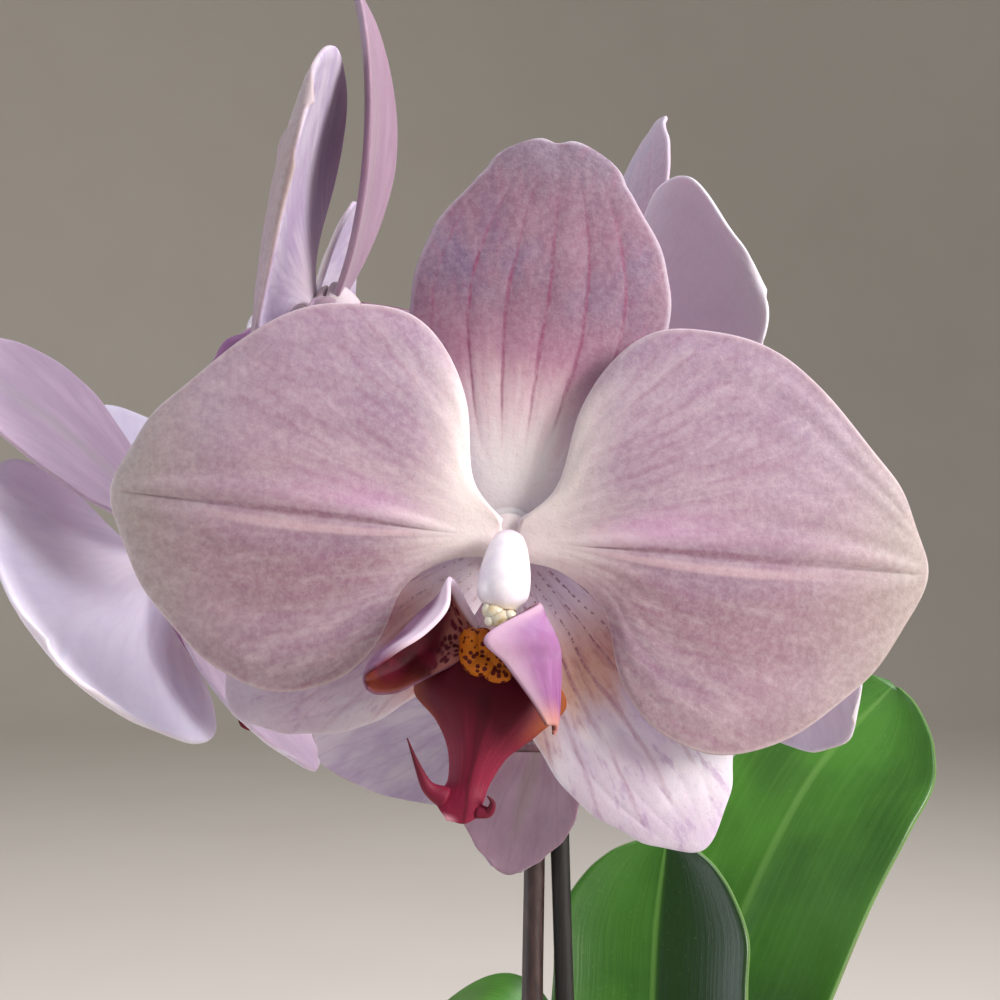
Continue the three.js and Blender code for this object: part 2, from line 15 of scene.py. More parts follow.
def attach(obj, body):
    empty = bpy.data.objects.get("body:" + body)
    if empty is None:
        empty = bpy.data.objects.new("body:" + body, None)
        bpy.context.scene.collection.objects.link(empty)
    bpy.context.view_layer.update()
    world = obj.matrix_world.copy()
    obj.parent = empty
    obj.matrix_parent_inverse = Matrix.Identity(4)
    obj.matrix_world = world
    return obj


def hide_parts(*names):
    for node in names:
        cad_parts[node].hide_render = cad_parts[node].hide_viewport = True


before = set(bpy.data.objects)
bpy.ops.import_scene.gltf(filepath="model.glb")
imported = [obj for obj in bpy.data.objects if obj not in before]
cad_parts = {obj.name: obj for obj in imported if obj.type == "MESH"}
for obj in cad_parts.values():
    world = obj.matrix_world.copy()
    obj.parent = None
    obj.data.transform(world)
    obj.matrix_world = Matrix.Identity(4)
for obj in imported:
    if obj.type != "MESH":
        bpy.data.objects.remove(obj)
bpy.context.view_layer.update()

MM = 0.001


# %% [markdown]
# Every form here is drawn with smooth curves through a few named points. One function walks such a curve. It works
# on whole arrays, so the same call bends a stem, a row of a petal or a list of radii. Open ends are carried on
# straight, which suits stems and petals. Held ends repeat the last point, which suits radii and widths.

# %% Smooth curves
def spline(points, share, held=False):
    """The points of a smooth curve through the given ones, at shares of its length from 0 to 1."""
    points = np.asarray(points, float)
    last = len(points) - 1
    before = points[0] if held else 2 * points[0] - points[1]
    after = points[-1] if held else 2 * points[-1] - points[-2]
    knots = np.concatenate([before[None], points, after[None]])
    place = np.clip(np.asarray(share, float), 0, 1) * last
    k = np.minimum(place.astype(int), last - 1)
    w = (place - k).reshape(-1, *[1] * (points.ndim - 1))
    a, b, c, d = knots[k], knots[k + 1], knots[k + 2], knots[k + 3]
    return b + 0.5 * w * (c - a + w * (2 * a - 5 * b + 4 * c - d + w * (3 * (b - c) + d - a)))


def net(points, down, across):
    """A surface through a net of points, at shares down its rows and across them."""
    rows = spline(points, down)
    return spline(rows.transpose(1, 0, 2), across).transpose(1, 0, 2)


def smoothstep(low, high, x):
    t = np.clip((x - low) / (high - low), 0, 1)
    return t * t * (3 - 2 * t)


def unit(v):
    return v / np.maximum(np.linalg.norm(v, axis=-1, keepdims=True), 1e-12)


# %% [markdown]
# A shape is gathered as plain arrays first: its points in millimetres, its faces, and marks, which are numbers kept
# at each point, such as how far along a petal it lies. Shapes can be put together and placed before Blender makes one
# mesh of them. The marks become attributes that the materials read, so colour follows growth and not the world.

# %% Shapes and pieces
def shape(points, faces, **marks):
    return {"points": np.asarray(points, float), "faces": faces, "marks": marks}


def together(shapes):
    """Several shapes as one, each with its own marks and 0 where it has none."""
    names = sorted({name for s in shapes for name in s["marks"]})
    faces, start = [], 0
    for s in shapes:
        faces += [tuple(start + i for i in face) for face in s["faces"]]
        start += len(s["points"])
    marks = {n: np.concatenate([np.broadcast_to(s["marks"].get(n, 0.0), len(s["points"])) for s in shapes])
             for n in names}
    return shape(np.concatenate([s["points"] for s in shapes]), faces, **marks)


def placed(s, matrix):
    turned = s["points"] @ np.array(matrix.to_3x3()).T + np.array(matrix.translation)
    return {**s, "points": turned}


def piece(name, s, material, slot, *nodes):
    """A Blender mesh of a shape. It rides with the plant and stands for the named CAD nodes."""
    mesh = bpy.data.meshes.new(name)
    mesh.from_pydata((s["points"] * MM).tolist(), [], s["faces"])
    mesh.polygons.foreach_set("use_smooth", [True] * len(mesh.polygons))
    for mark, values in s["marks"].items():
        mesh.attributes.new(mark, "FLOAT", "POINT").data.foreach_set("value", np.asarray(values, np.float32))
    mesh.materials.append(material)
    made = bpy.data.objects.new(name, mesh)
    bpy.context.scene.collection.objects.link(made)
    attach(made, "root")
    if nodes:
        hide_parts(*nodes)
    print(f"{name}: {len(mesh.polygons)} faces")
    return made


# %% [markdown]
# Petals, lips and leaves are thin sheets. A sheet could be a flat surface with a Solidify modifier, but a real petal
# is thickest in its middle and fine at its margin. So each sheet is closed in code: two faces a little apart, and a
# rim that joins them.

# %% Thin sheets
def sheet(grid, thickness, margin=0.45, **marks):
    """A closed sheet about a grid of points. It thins towards its margin, to that share of its thickness."""
    rows, columns = grid.shape[:2]
    along = np.gradient(grid, axis=0)
    over = np.gradient(grid, axis=1)
    normal = unit(np.cross(along, over))
    u = np.linspace(0, 1, rows)[:, None]
    s = np.linspace(-1, 1, columns)[None, :]
    fade = (1 - np.abs(s) ** 8) * (1 - u ** 16)
    half = (0.5 * thickness * (margin + (1 - margin) * fade))[..., None]
    front = (grid + normal * half).reshape(-1, 3)
    back = (grid - normal * half).reshape(-1, 3)
    count = rows * columns
    cell = (np.arange(rows - 1)[:, None] * columns + np.arange(columns - 1)[None, :]).ravel()
    quad = np.stack([cell, cell + columns, cell + columns + 1, cell + 1], axis=1)
    rim = list(range(0, count, columns))[:-1] + list(range(count - columns, count - 1))
    rim += list(range(count - 1, columns - 1, -columns)) + list(range(columns - 1, 0, -1))
    edges = [(a, count + a, count + b, b) for a, b in zip(rim, rim[1:] + rim[:1])]
    faces = [tuple(q) for q in quad.tolist()] + [tuple(count + i for i in q[::-1]) for q in quad.tolist()] + edges
    both = {name: np.tile(np.broadcast_to(value, (rows, columns)).ravel(), 2) for name, value in marks.items()}
    both["back"] = np.repeat([0.0, 1.0], count)
    return shape(np.concatenate([front, back]), faces, **both)


# %% [markdown]
# Stems, roots and the column are rods: a ring of points carried along a curve. The ring is turned as little as the
# bends allow, so that the skin doesn't twist. The pot and other turned forms are rings of one middle line instead.

# %% Rods and turned forms
def ring_faces(rings, sides):
    """Faces that join rings of points, each to the next."""
    return [(i * sides + k, i * sides + (k + 1) % sides, (i + 1) * sides + (k + 1) % sides, (i + 1) * sides + k)
            for i in range(rings - 1) for k in range(sides)]


def round_angles(sides):
    return np.linspace(0, 2 * math.pi, sides, endpoint=False)


def rod(path, radii, steps, sides, bumps=None, **marks):
    """A closed round rod along a path. bumps(share, angle) adds to its radius."""
    share = np.linspace(0, 1, steps + 1)
    line = spline(path, share)
    tangent = unit(np.gradient(line, axis=0))
    radius = spline(np.asarray(radii, float)[:, None], share, held=True)[:, 0]
    normal = np.array([1.0, 0, 0]) if abs(tangent[0][0]) < 0.9 else np.array([0, 1.0, 0])
    angle = round_angles(sides)
    rings = []
    for i in range(steps + 1):
        normal = unit(normal - tangent[i] * tangent[i].dot(normal))
        other = np.cross(tangent[i], normal)
        r = radius[i] + (bumps(share[i], angle) if bumps else 0)
        spokes = np.cos(angle)[:, None] * normal + np.sin(angle)[:, None] * other
        rings.append(line[i] + spokes * np.broadcast_to(r, sides)[:, None])
    points = np.concatenate(rings + [line[:1], line[-1:]])
    start, top = len(points) - 2, steps * sides
    faces = ring_faces(steps + 1, sides)
    for k in range(sides):
        after = (k + 1) % sides
        faces += [(start, after, k), (start + 1, top + k, top + after)]
    return shape(points, faces, reach=np.concatenate([np.repeat(share, sides), [0, 1]]), **marks)


def turned(profile, sides, **marks):
    """A closed solid turned about the upright, from (radius, height) points."""
    profile = list(profile)
    points = [[r * math.cos(a), r * math.sin(a), z] for r, z in profile for a in round_angles(sides)]
    top = (len(profile) - 1) * sides
    ends = [tuple(reversed(range(sides))), tuple(range(top, top + sides))]
    return shape(points, ring_faces(len(profile), sides) + ends, **marks)


# %% [markdown]
# Materials are written as sums. A Wire holds one output of the node tree, and adding or multiplying Wires adds the
# Math nodes. A Paint is one material: node() makes any other node from its type, its settings and its sockets. Living
# skin has no one colour, so layers() lays coats over a ground, as a painter glazes.

# %% A small language for shaders
class Wire:
    def __init__(self, paint, socket):
        self.paint = paint
        self.socket = socket

    def math(self, operation, *others, swap=False):
        sides = [*others, self] if swap else [self, *others]
        return self.paint.node("ShaderNodeMath", {"operation": operation}, dict(enumerate(sides)))

    def __add__(self, other):
        return self.math("ADD", other)

    def __sub__(self, other):
        return self.math("SUBTRACT", other)

    def __rsub__(self, other):
        return self.math("SUBTRACT", other, swap=True)

    def __mul__(self, other):
        return self.math("MULTIPLY", other)

    def __truediv__(self, other):
        return self.math("DIVIDE", other)

    __radd__ = __add__
    __rmul__ = __mul__

    def least(self, other):
        return self.math("MINIMUM", other)

    def size(self):
        return self.math("ABSOLUTE")

    def fraction(self):
        return self.math("FRACT")

    def rise(self, low, high):
        """0 below low, 1 above high and smooth between them; it falls where low is the greater."""
        settings = {"interpolation_type": "SMOOTHSTEP"}
        sockets = {"Value": self, "From Min": min(low, high), "From Max": max(low, high),
                   "To Min": 0.0 if low < high else 1.0, "To Max": 1.0 if low < high else 0.0}
        return self.paint.node("ShaderNodeMapRange", settings, sockets)


class Paint:
    def __init__(self, name):
        self.material = bpy.data.materials.new(name)
        self.material.use_nodes = True
        self.tree = self.material.node_tree
        self.tree.nodes.clear()

    def node(self, kind, settings=None, sockets=None, out=0):
        made = self.tree.nodes.new(kind)
        for key, value in (settings or {}).items():
            setattr(made, key, value)
        for key, value in (sockets or {}).items():
            if isinstance(value, Wire):
                self.tree.links.new(value.socket, made.inputs[key])
            else:
                made.inputs[key].default_value = value
        return Wire(self, made.outputs[out]) if made.outputs else None

    def marks(self, *names):
        """The marks of a shape, as Wires, in the order they are asked for."""
        return [self.node("ShaderNodeAttribute", {"attribute_name": name}, out="Fac") for name in names]

    def spot(self, stretch=(1, 1, 1)):
        """The place in the plant, in millimetres, stretched along its axes."""
        place = self.node("ShaderNodeTexCoord", out="Object")
        scale = tuple(s / MM for s in stretch)
        return self.node("ShaderNodeVectorMath", {"operation": "MULTIPLY"}, {0: place, 1: scale})

    def vector(self, x, y, z=0.0):
        return self.node("ShaderNodeCombineXYZ", None, {0: x, 1: y, 2: z})

    def noise(self, at, scale, detail=2.0, roughness=0.5):
        sockets = {"Vector": at, "Scale": scale, "Detail": detail, "Roughness": roughness}
        return self.node("ShaderNodeTexNoise", None, sockets)

    def cells(self, at, scale, feature="F1"):
        return self.node("ShaderNodeTexVoronoi", {"feature": feature}, {"Vector": at, "Scale": scale})

    def mix(self, share, first, second):
        colour = [c if isinstance(c, Wire) else tint(c) for c in (first, second)]
        settings = {"data_type": "RGBA", "blend_type": "MIX"}
        return self.node("ShaderNodeMix", settings, {0: share, 6: colour[0], 7: colour[1]}, out=2)

    def layers(self, colour, *coats):
        """A ground colour with coats laid over it one by one. Each coat is its share and its colour."""
        for share, over in coats:
            colour = self.mix(share, colour, over)
        return colour

    def bump(self, height, distance, strength=1.0, normal=None):
        sockets = {"Height": height, "Distance": distance * MM, "Strength": strength}
        if normal:
            sockets["Normal"] = normal
        return self.node("ShaderNodeBump", None, sockets)

    def done(self, colour, roughness, normal=None, **fixed):
        """The finished material. fixed gives constants by socket name, with _ for a space."""
        sockets = {"Base Color": colour, "Roughness": roughness}
        if normal:
            sockets["Normal"] = normal
        sockets.update({key.replace("_", " "): value for key, value in fixed.items()})
        shader = self.node("ShaderNodeBsdfPrincipled", None, sockets)
        self.node("ShaderNodeOutputMaterial", None, {"Surface": shader})
        return self.material


def tint(colour):
    """A colour written as #rrggbb, as Blender's linear numbers."""
    parts = [int(colour[i:i + 2], 16) / 255 for i in (1, 3, 5)]
    return tuple(c / 12.92 if c <= 0.04045 else ((c + 0.055) / 1.055) ** 2.4 for c in parts) + (1.0,)


# %% [markdown]
# A moth orchid's bloom has three sepals behind and two broad petals before them. Both are drawn as outlines: stations
# along the middle rib, with the edge above and below it. A last short station rounds the tip. The bloom's own axes
# are right, forward and up, and depth says how far forward of the bloom's plane each part of a petal lies.

# %% Outlines of petals and sepals
PETAL_OUTLINE = [
    (0.6, (0.8, 1.7), (0.8, -1.5)), (5, (3.8, 5.0), (4.8, -2.2)), (9, (5.3, 11.8), (8.6, -5.2)),
    (13, (8.6, 16.9), (10.5, -10.8)), (18, (14.5, 18.9), (14.8, -15.2)), (23, (21.5, 17.2), (20.5, -15.9)),
    (28.2, (27.8, 11.9), (26.6, -13.1)), (32.6, (32.4, 7.2), (31.6, -8.4)), (35.6, (35.0, 2.8), (34.8, -3.2)),
]
SEPAL_OUTLINE = [
    (0.5, (0.7, 1.9), (0.7, -1.9)), (6, (5.8, 5.2), (5.8, -5.2)), (12, (12, 9.0), (12, -9.0)),
    (18, (18.2, 11.3), (18.2, -11.3)), (24, (24.2, 10.4), (24.2, -10.4)), (29.6, (29.8, 7.1), (29.8, -7.1)),
    (34.5, (33.6, 2.9), (33.6, -2.9)),
]
DORSAL = {"angle": 82.5, "length": 1.04, "upper": 0.99, "lower": 1.02, "side": 1, "low": 0.0}
# The left lower sepal takes only 0.6 of the lower sepals' colouring: this makes it pinker, and darker as painted shade
# from the petal above it.
LATERALS = [{"angle": -57.8, "length": 0.945, "upper": 0.8, "lower": 0.67, "side": 1, "low": 1.0},
            {"angle": 212, "length": 0.84, "upper": 0.84, "lower": 0.66, "side": -1, "low": 0.6}]
PETALS = [{"angle": -5, "length": 1.02, "upper": 1.02, "lower": 1.03, "side": 1, "low": 0.0},
          {"angle": 173, "length": 0.97, "upper": 0.98, "lower": 0.94, "side": -1, "low": 0.0}]
TEPAL_THICKNESS = 0.75
print("Stations:", len(PETAL_OUTLINE), "along a petal,", len(SEPAL_OUTLINE), "along a sepal")


# %% Depth of petals and sepals
def petal_depth(u, s):
    dome = 3.6 * np.sin(math.pi * np.minimum(0.12 + 0.8 * u, 1)) - 0.9
    rim = -1.5 * s * s * np.sin(math.pi * u) - 1.6 * u * u
    ruffle = 0.45 * np.abs(s) ** 3 * np.sin(8 * u + 2 * s)
    return 0.3 + dome + rim + ruffle


def sepal_depth(u, s, hood):
    """A hood below 0 bows the sepal back at its tip, and one above 0 curls it forward."""
    arch = (1.3 if hood < 0 else -1.8) * np.sin(math.pi * u) + hood * u * u
    rim = -1.3 * s * s * np.sin(math.pi * u)
    return -1.7 + arch + rim


def petal_relief(u, s):
    """The creased middle rib of a petal, the folds that fan out beside it, and its ribbed skin."""
    grown = smoothstep(0.08, 0.3, u) * smoothstep(1.02, 0.75, u)
    crease = -0.30 * np.exp(-((s - 0.02) / 0.022) ** 2) + 0.22 * np.exp(-((s - 0.09) / 0.05) ** 2)
    folds = 0.10 * np.sin(26 * s + 1.5 * np.sin(5 * u)) * np.exp(-(s / 0.35) ** 2)
    fans = 0.045 * np.sin(34 * s + 7 * u) * np.abs(s)
    return grown * (crease + folds + fans)


def sepal_relief(u, s):
    """Shallow furrows along a sepal's veins."""
    furrows = -0.06 * sum(np.exp(-((s - at) / 0.04) ** 2) for at in (-0.65, -0.35, -0.06, 0.24, 0.53))
    return smoothstep(0.15, 0.35, u) * smoothstep(0.98, 0.7, u) * furrows


# %% [markdown]
# One tepal is sampled on an even grid. Its marks are what the colours need: how far it reaches from base to tip, where
# it lies across, how near its margin is, and a fan, which is the direction from the base. Veins run along that fan.

# %% One tepal
def tepal(outline, spec, depth, relief, rows, columns, notch=0.0):
    stations = np.array([[[low[0], low[1] * spec["lower"], 0], [rib, 0, 0], [up[0], up[1] * spec["upper"], 0]]
                         for rib, up, low in outline])
    stations[..., 0] *= spec["length"]
    closer_at_tip = np.sin(np.linspace(0, 1, rows) * 1.35) / math.sin(1.35)
    closer_at_margin = 0.5 + 0.5 * np.sin(np.linspace(-1, 1, columns) * 1.3) / math.sin(1.3)
    flat = net(stations, closer_at_tip, closer_at_margin)
    u = closer_at_tip[:, None] * np.ones(columns)
    s = (2 * closer_at_margin - 1)[None, :] * np.ones((rows, 1))
    along, across = flat[..., 0], flat[..., 1]
    across = across * (1 + 0.7 * notch * smoothstep(0.86, 1.0, u))
    along = along - notch * smoothstep(0.86, 1.0, u) * np.exp(-((s - 0.05) / 0.25) ** 2)
    along = along - 0.5 * s ** 4 * smoothstep(0.85, 1.0, u)
    waver = 0.12 * (np.sin(24 * u + 3 * s + 1) + 0.7 * np.sin(41 * u + 3)) * smoothstep(0.15, 0.4, u)
    across = across + waver * s ** 5 * smoothstep(1.0, 0.7, u)
    breadth = np.ptp(across, axis=1)[:, None] / 2
    edge = np.minimum((1 - np.abs(s)) * breadth, along.max() - along + 0.3 * breadth * (1 - u))
    fan = np.arctan2(across, along + 2.5)
    radius = np.hypot(across, along)
    turn = math.radians(spec["angle"])
    side = across * spec["side"]
    right = along * math.cos(turn) - side * math.sin(turn)
    up = along * math.sin(turn) + side * math.cos(turn)
    grid = np.stack([right, -depth(u, s) - relief(u, s), up], axis=-1)
    marks = {"reach": u, "cross": s, "edge": edge, "fan": fan, "radius": radius}
    if spec["side"] < 0:
        grid = grid[:, ::-1]
        marks = {name: values[:, ::-1] for name, values in marks.items()}
    return sheet(grid, TEPAL_THICKNESS, low=spec["low"], **marks)


# %% [markdown]
# The lip is the bloom's landing stage: two ear-like side lobes that stand up beside the column, and a middle lobe
# like an anchor, with two curled tendrils at its tip. Each lobe is a net of points, in millimetres right, up and
# forward of the bloom's middle. Lumps of orange callus sit where the lobes meet.

# %% The lip's nets
LEFT_LOBE = [
    [[-3.9, -9.8, 4.2], [-3.4, -9, 3.6], [-2.9, -8.1, 3.2], [-2.5, -6.9, 3.4]],
    [[-5.2, -10.4, 4.8], [-4.7, -8.9, 3], [-4, -6.8, 2.6], [-3.4, -5.4, 3.4]],
    [[-6.5, -11, 5.4], [-5.9, -8.7, 2.9], [-5.2, -5.4, 2.6], [-4.8, -3, 4.2]],
    [[-7.8, -11.6, 6], [-7.2, -9.3, 3.2], [-7.1, -6.1, 3.4], [-5, -5.3, 6.2]],
    [[-9.1, -12.1, 6.8], [-8.9, -10.4, 4.2], [-9, -8.1, 4.8], [-6.7, -7.2, 7.4]],
    [[-10.6, -12.1, 7.6], [-10.8, -11.1, 6], [-10.8, -9.5, 6.2], [-8.8, -8.5, 8.2]],
    [[-11.3, -11.6, 8.2], [-11.6, -11.3, 7.4], [-11.5, -10.6, 7.4], [-10.7, -9.9, 8.4]],
]
RIGHT_LOBE = [
    [[1.1, -10.1, 4.2], [0.9, -9.2, 3.6], [0.6, -8.3, 3.2], [0.3, -7.3, 3.4]],
    [[2.5, -10.6, 4.8], [2.3, -9.1, 3], [2.1, -7.2, 2.8], [1.5, -5.7, 3.6]],
    [[3.2, -11.5, 5.4], [3.6, -9.2, 3.6], [2.9, -6.5, 4], [2.3, -5.2, 5.6]],
    [[3.6, -12.4, 6.2], [4, -10.4, 5], [3.2, -7.8, 7.1], [-1.9, -7.4, 9.4]],
    [[3.6, -13.4, 7], [3.9, -11.8, 6.4], [3.1, -9.6, 7.7], [-0.3, -9.6, 9.1]],
    [[3.6, -14.4, 8], [3.8, -13.3, 7.8], [3.3, -12.1, 8.6], [1.7, -12.3, 9.4]],
    [[3.6, -15.3, 8.6], [3.7, -14.9, 8.6], [3.6, -14.5, 9], [3, -14.4, 9.5]],
]
MIDDLE_LOBE = [
    [[-4.3, -9.5, 3.6], [-1.6, -9.5, 4.2], [1.3, -9.8, 3.6]],
    [[-7.2, -11.2, 3.6], [-1.7, -11.7, 5.6], [3.9, -11.7, 3.8]],
    [[-7.7, -12.7, 3.6], [-1.9, -13.7, 6.4], [4.7, -13.9, 3.6]],
    [[-5.9, -14.7, 4.6], [-2.3, -15.5, 6.6], [2.3, -15.9, 5]],
    [[-4.9, -17, 5.2], [-2.7, -17.4, 6.6], [-0.1, -17.6, 5.4]],
    [[-4.9, -19.5, 5.6], [-3.2, -19.6, 6.6], [-1.5, -19.6, 5.8]],
    [[-5.9, -20.9, 6.6], [-3.4, -21.1, 7], [-2.1, -21.1, 6.4]],
    [[-5, -22.4, 7.2], [-3.7, -22.7, 7], [-2.6, -22.3, 6.6]],
]
TENDRILS = [[[-5.2, -20.7, 6.6], [-6.5, -19.8, 7], [-7.3, -18, 7.6], [-8.1, -15.6, 8.4]],
            [[-2.5, -21.8, 6.6], [-1.6, -21.8, 6.9], [-1.3, -21, 7.3], [-1.7, -20.4, 7.5]]]
TENDRIL_RADII = [[0.9, 0.55, 0.28, 0.06], [0.62, 0.42, 0.24, 0.07]]
LIP_FOOT = [[-2.2, -9.4, 3.8], [-1.6, -7.8, 2.9], [-0.7, -6.5, 2.2], [-0.5, -5.6, 2.2]]
LIP_FOOT_RADII = [1.3, 1.1, 0.95, 0.85]
CALLUS = [((-3.0, -9.0, 4.7), (1.1, 1.9, 1.5)), ((-0.9, -10.9, 5.0), (1.3, 0.9, 1.2)),
          ((-2.1, -8.6, 4.5), (1.2, 1.5, 1.5)), ((-2.2, -10.1, 4.9), (1.5, 1.1, 1.4)),
          ((-1.2, -9.6, 4.6), (1.3, 1.4, 1.4)), ((-3.3, -8.1, 4.4), (0.8, 0.9, 1.1))]
LIP_THICKNESS = 0.7
print("Lobes:", len(LEFT_LOBE), "rows each at the sides,", len(MIDDLE_LOBE), "in the middle")


# %% The lip's lobes
def in_bloom(points):
    """[right, up, forward] in the bloom's own axes."""
    points = np.asarray(points, float)
    return np.stack([points[..., 0], -points[..., 2], points[..., 1]], axis=-1)


def ball(at, size, rings, sides, **marks):
    """A closed ellipsoid. Both its place and its size are [right, up, forward]."""
    poles = np.linspace(math.pi, 0, rings + 1)
    made = turned(zip(np.maximum(np.sin(poles), 0.02), np.cos(poles)), sides, **marks)
    return {**made, "points": made["points"] * np.abs(in_bloom(size)) + in_bloom(at)}


def lobe(points, kind, rows, columns):
    grid = net(in_bloom(points), np.linspace(0, 1, rows), np.linspace(0, 1, columns))
    u = np.linspace(0, 1, rows)[:, None] * np.ones(columns)
    s = np.linspace(-1, 1, columns)[None, :] * np.ones((rows, 1))
    return sheet(grid, LIP_THICKNESS, 0.5, reach=u, cross=s, kind=float(kind))


def lip(detail):
    rows, columns = (64, 40) if detail else (28, 18)
    shapes = [lobe(MIDDLE_LOBE, 0, rows + 16, columns), lobe(LEFT_LOBE, 1, rows, columns),
              lobe(RIGHT_LOBE, 2, rows, columns)]
    shapes += [rod(in_bloom(path), radii, 20, 12, kind=3.0) for path, radii in zip(TENDRILS, TENDRIL_RADII)]
    shapes.append(rod(in_bloom(LIP_FOOT), LIP_FOOT_RADII, 16, 14, kind=4.0))
    shapes += [ball(at, size, 14, 20, kind=5.0) for at, size in CALLUS]
    return together(shapes)


# %% [markdown]
# The column is the white knob in the middle, where the bloom's stamen and pistil have grown into one. Its front ends
# in a cream cap over the pollen, and a foot runs down behind it to the lip.

# %% The column
COLUMN_PATH = [[0, -0.3, 1.95], [-0.1, -1.2, 3.3], [-0.3, -2.9, 4.4], [-0.5, -4.5, 5.0], [-0.6, -5.6, 5.2]]
COLUMN_RADII = [1.45, 1.8, 2.15, 2.1, 1.25]
COLUMN_FOOT = [[0, -1.4, 3.0], [-0.2, -3.2, 2.5], [-0.3, -4.9, 2.2]]
COLUMN_FOOT_RADII = [1.1, 1.0, 0.85]
POLLEN = [((-1.2, -5.7, 6.0), (0.9, 0.7, 0.8)), ((-0.6, -6.2, 6.3), (1.0, 0.7, 0.7)),
          ((-1.75, -5.6, 6.1), (0.45, 0.6, 0.5)), ((-1.5, -6.4, 6.3), (0.5, 0.45, 0.5)),
          ((0.1, -6.0, 6.4), (0.55, 0.5, 0.55)), ((-0.3, -6.6, 6.7), (0.5, 0.4, 0.5))]
PETAL_SEAT = [(0, -0.5), (2.15, -0.5), (2.0, 0.1), (1.125, 0.55), (0, 0.7)]
SEAT_BACK = -4.2
SEPAL_SEAT = [(0, SEAT_BACK), (1.3, SEAT_BACK), (2.6, SEAT_BACK + 2), (2.6, -0.85), (0, -0.85)]


def column():
    shapes = [rod(in_bloom(COLUMN_PATH), COLUMN_RADII, 32, 32, kind=0.0),
              rod(in_bloom(COLUMN_FOOT), COLUMN_FOOT_RADII, 12, 16, kind=1.0)]
    shapes += [ball(at, size, 12, 18, kind=2.0) for at, size in POLLEN]
    return together(shapes)


def seat(profile):
    """The disc at the bloom's middle that its petals or sepals grow from, of (radius, forward) points."""
    radius, forward = spline(profile, np.linspace(0, 1, 5 * len(profile) - 4), held=True).T
    made = turned(zip(np.maximum(radius, 0.05), forward), 28, edge=9.0)
    return {**made, "points": in_bloom(made["points"])}


# %% [markdown]
# The plant carries six blooms. Each has a place, a turn and a size, and the front one gets the finest mesh because
# the camera looks straight at it. hood bends the upper sepal's tip, lean turns that sepal aside, and lift raises the
# left lower sepal. tone is painted light and shade on a whole bloom: 0 leaves its colour, 1 paints it pale as if lit,
# and -1 paints it dusky as if in shade.

# %% The blooms' places
BLOOM_FIELDS = ("at", "turn", "size", "hood", "lean", "lift", "tone")
BLOOM_ROWS = {
    "front": ((-7.3, -62, 199.6), (0, 0, 0), 1.0, -3.2, 0, 0, 0),
    "left": ((-44.4, -26.4, 197), (-106.5, 36.6, 14.8), 0.95, 0, -20, 0, 1),
    "upper_left": ((-26.9, -33.7, 223.4), (-91.3, -11.6, -23), 0.97, 5.5, -21, 0, -0.57),
    "upper_right": ((5.8, -18.3, 219), (-72.3, -3.7, -7.3), 0.92, -6, 20, 0, 0.9),
    "right": ((16.7, -5.9, 197.7), (119.2, -11.8, -49.5), 0.914, 0, -20, 0, 0.7),
    "lower": ((-2.4, -19.8, 180.2), (167.4, -39.5, 15.7), 0.88, 0, 20, 18, -0.5),
}
BLOOMS = {name: dict(zip(BLOOM_FIELDS, row)) for name, row in BLOOM_ROWS.items()}
for name, bloom in BLOOMS.items():
    yaw, pitch, roll = (math.radians(a) for a in bloom["turn"])
    turn = Matrix.Rotation(yaw, 4, "Z") @ Matrix.Rotation(pitch, 4, "X") @ Matrix.Rotation(roll, 4, "Y")
    bloom["matrix"] = Matrix.Translation(bloom["at"]) @ turn @ Matrix.Scale(bloom["size"], 4)
print("Blooms:", ", ".join(BLOOMS))


# %% [markdown]
# A petal's skin is a mosaic of tiny cells that glitter, over flesh that lets light in. Its pigment lies along the
# veins: broken dashes that fan out from the base, over a dusty pink ground that pales to cream at the middle and
# along the margin. The shader builds this from the marks: lines along the fan, broken by noise.

# %% Veins and skin shared by petals and sepals
def vein_lines(paint, fan, radius, count, wobble, width):
    """Thin lines along the fan: 1 on a vein and 0 between. They keep their width in millimetres."""
    bend = paint.noise(paint.vector(radius * 0.09, fan * 1.6, count * 0.37), 1.0, 2.0) - 0.5
    place = (fan + bend * wobble) * count
    away = ((place.fraction() - 0.5).size() * 2.0 - 1.0).size() * (radius + 2.0) / count
    return away.rise(width, width * 0.2)


def fanned_noise(paint, fan, radius, clouds, streaks, seed):
    """Soft clouds and fine streaks, both drawn out along the fan."""
    soft = paint.noise(paint.vector(radius * 0.10, fan * clouds, seed), 1.0, 3.0, 0.6)
    return soft, paint.noise(paint.vector(radius * 0.28, fan * streaks, seed), 1.0, 3.0, 0.62)


def painted_bloom_light(paint, colour, pale, dusk):
    """The colour with painted light and shade by the bloom's tone: paler for a bloom painted as lit, duskier for one
    painted as in shade.
    """
    tone, = paint.marks("tone")
    return paint.layers(colour, (tone.rise(0.0, 1.0) * pale, "#ece6f6"), (tone.rise(0.0, -1.0) * dusk, "#84687a"))


def flesh(paint, colour):
    """The finished flesh: cells that glitter over soft unevenness, and light let in."""
    spot = paint.spot()
    cells = paint.cells(spot, 4.5)
    normal = paint.bump(cells, 0.035, 0.35, paint.bump(paint.noise(spot, 0.9, 3.0), 0.12, 0.5))
    return paint.done(colour, 0.46 + cells * 0.25, normal, Subsurface_Weight=0.2, Subsurface_Radius=(3.0, 1.7, 1.6),
                      Subsurface_Scale=MM * 0.6, Sheen_Weight=0.2, Sheen_Roughness=0.4, Specular_IOR_Level=0.45)


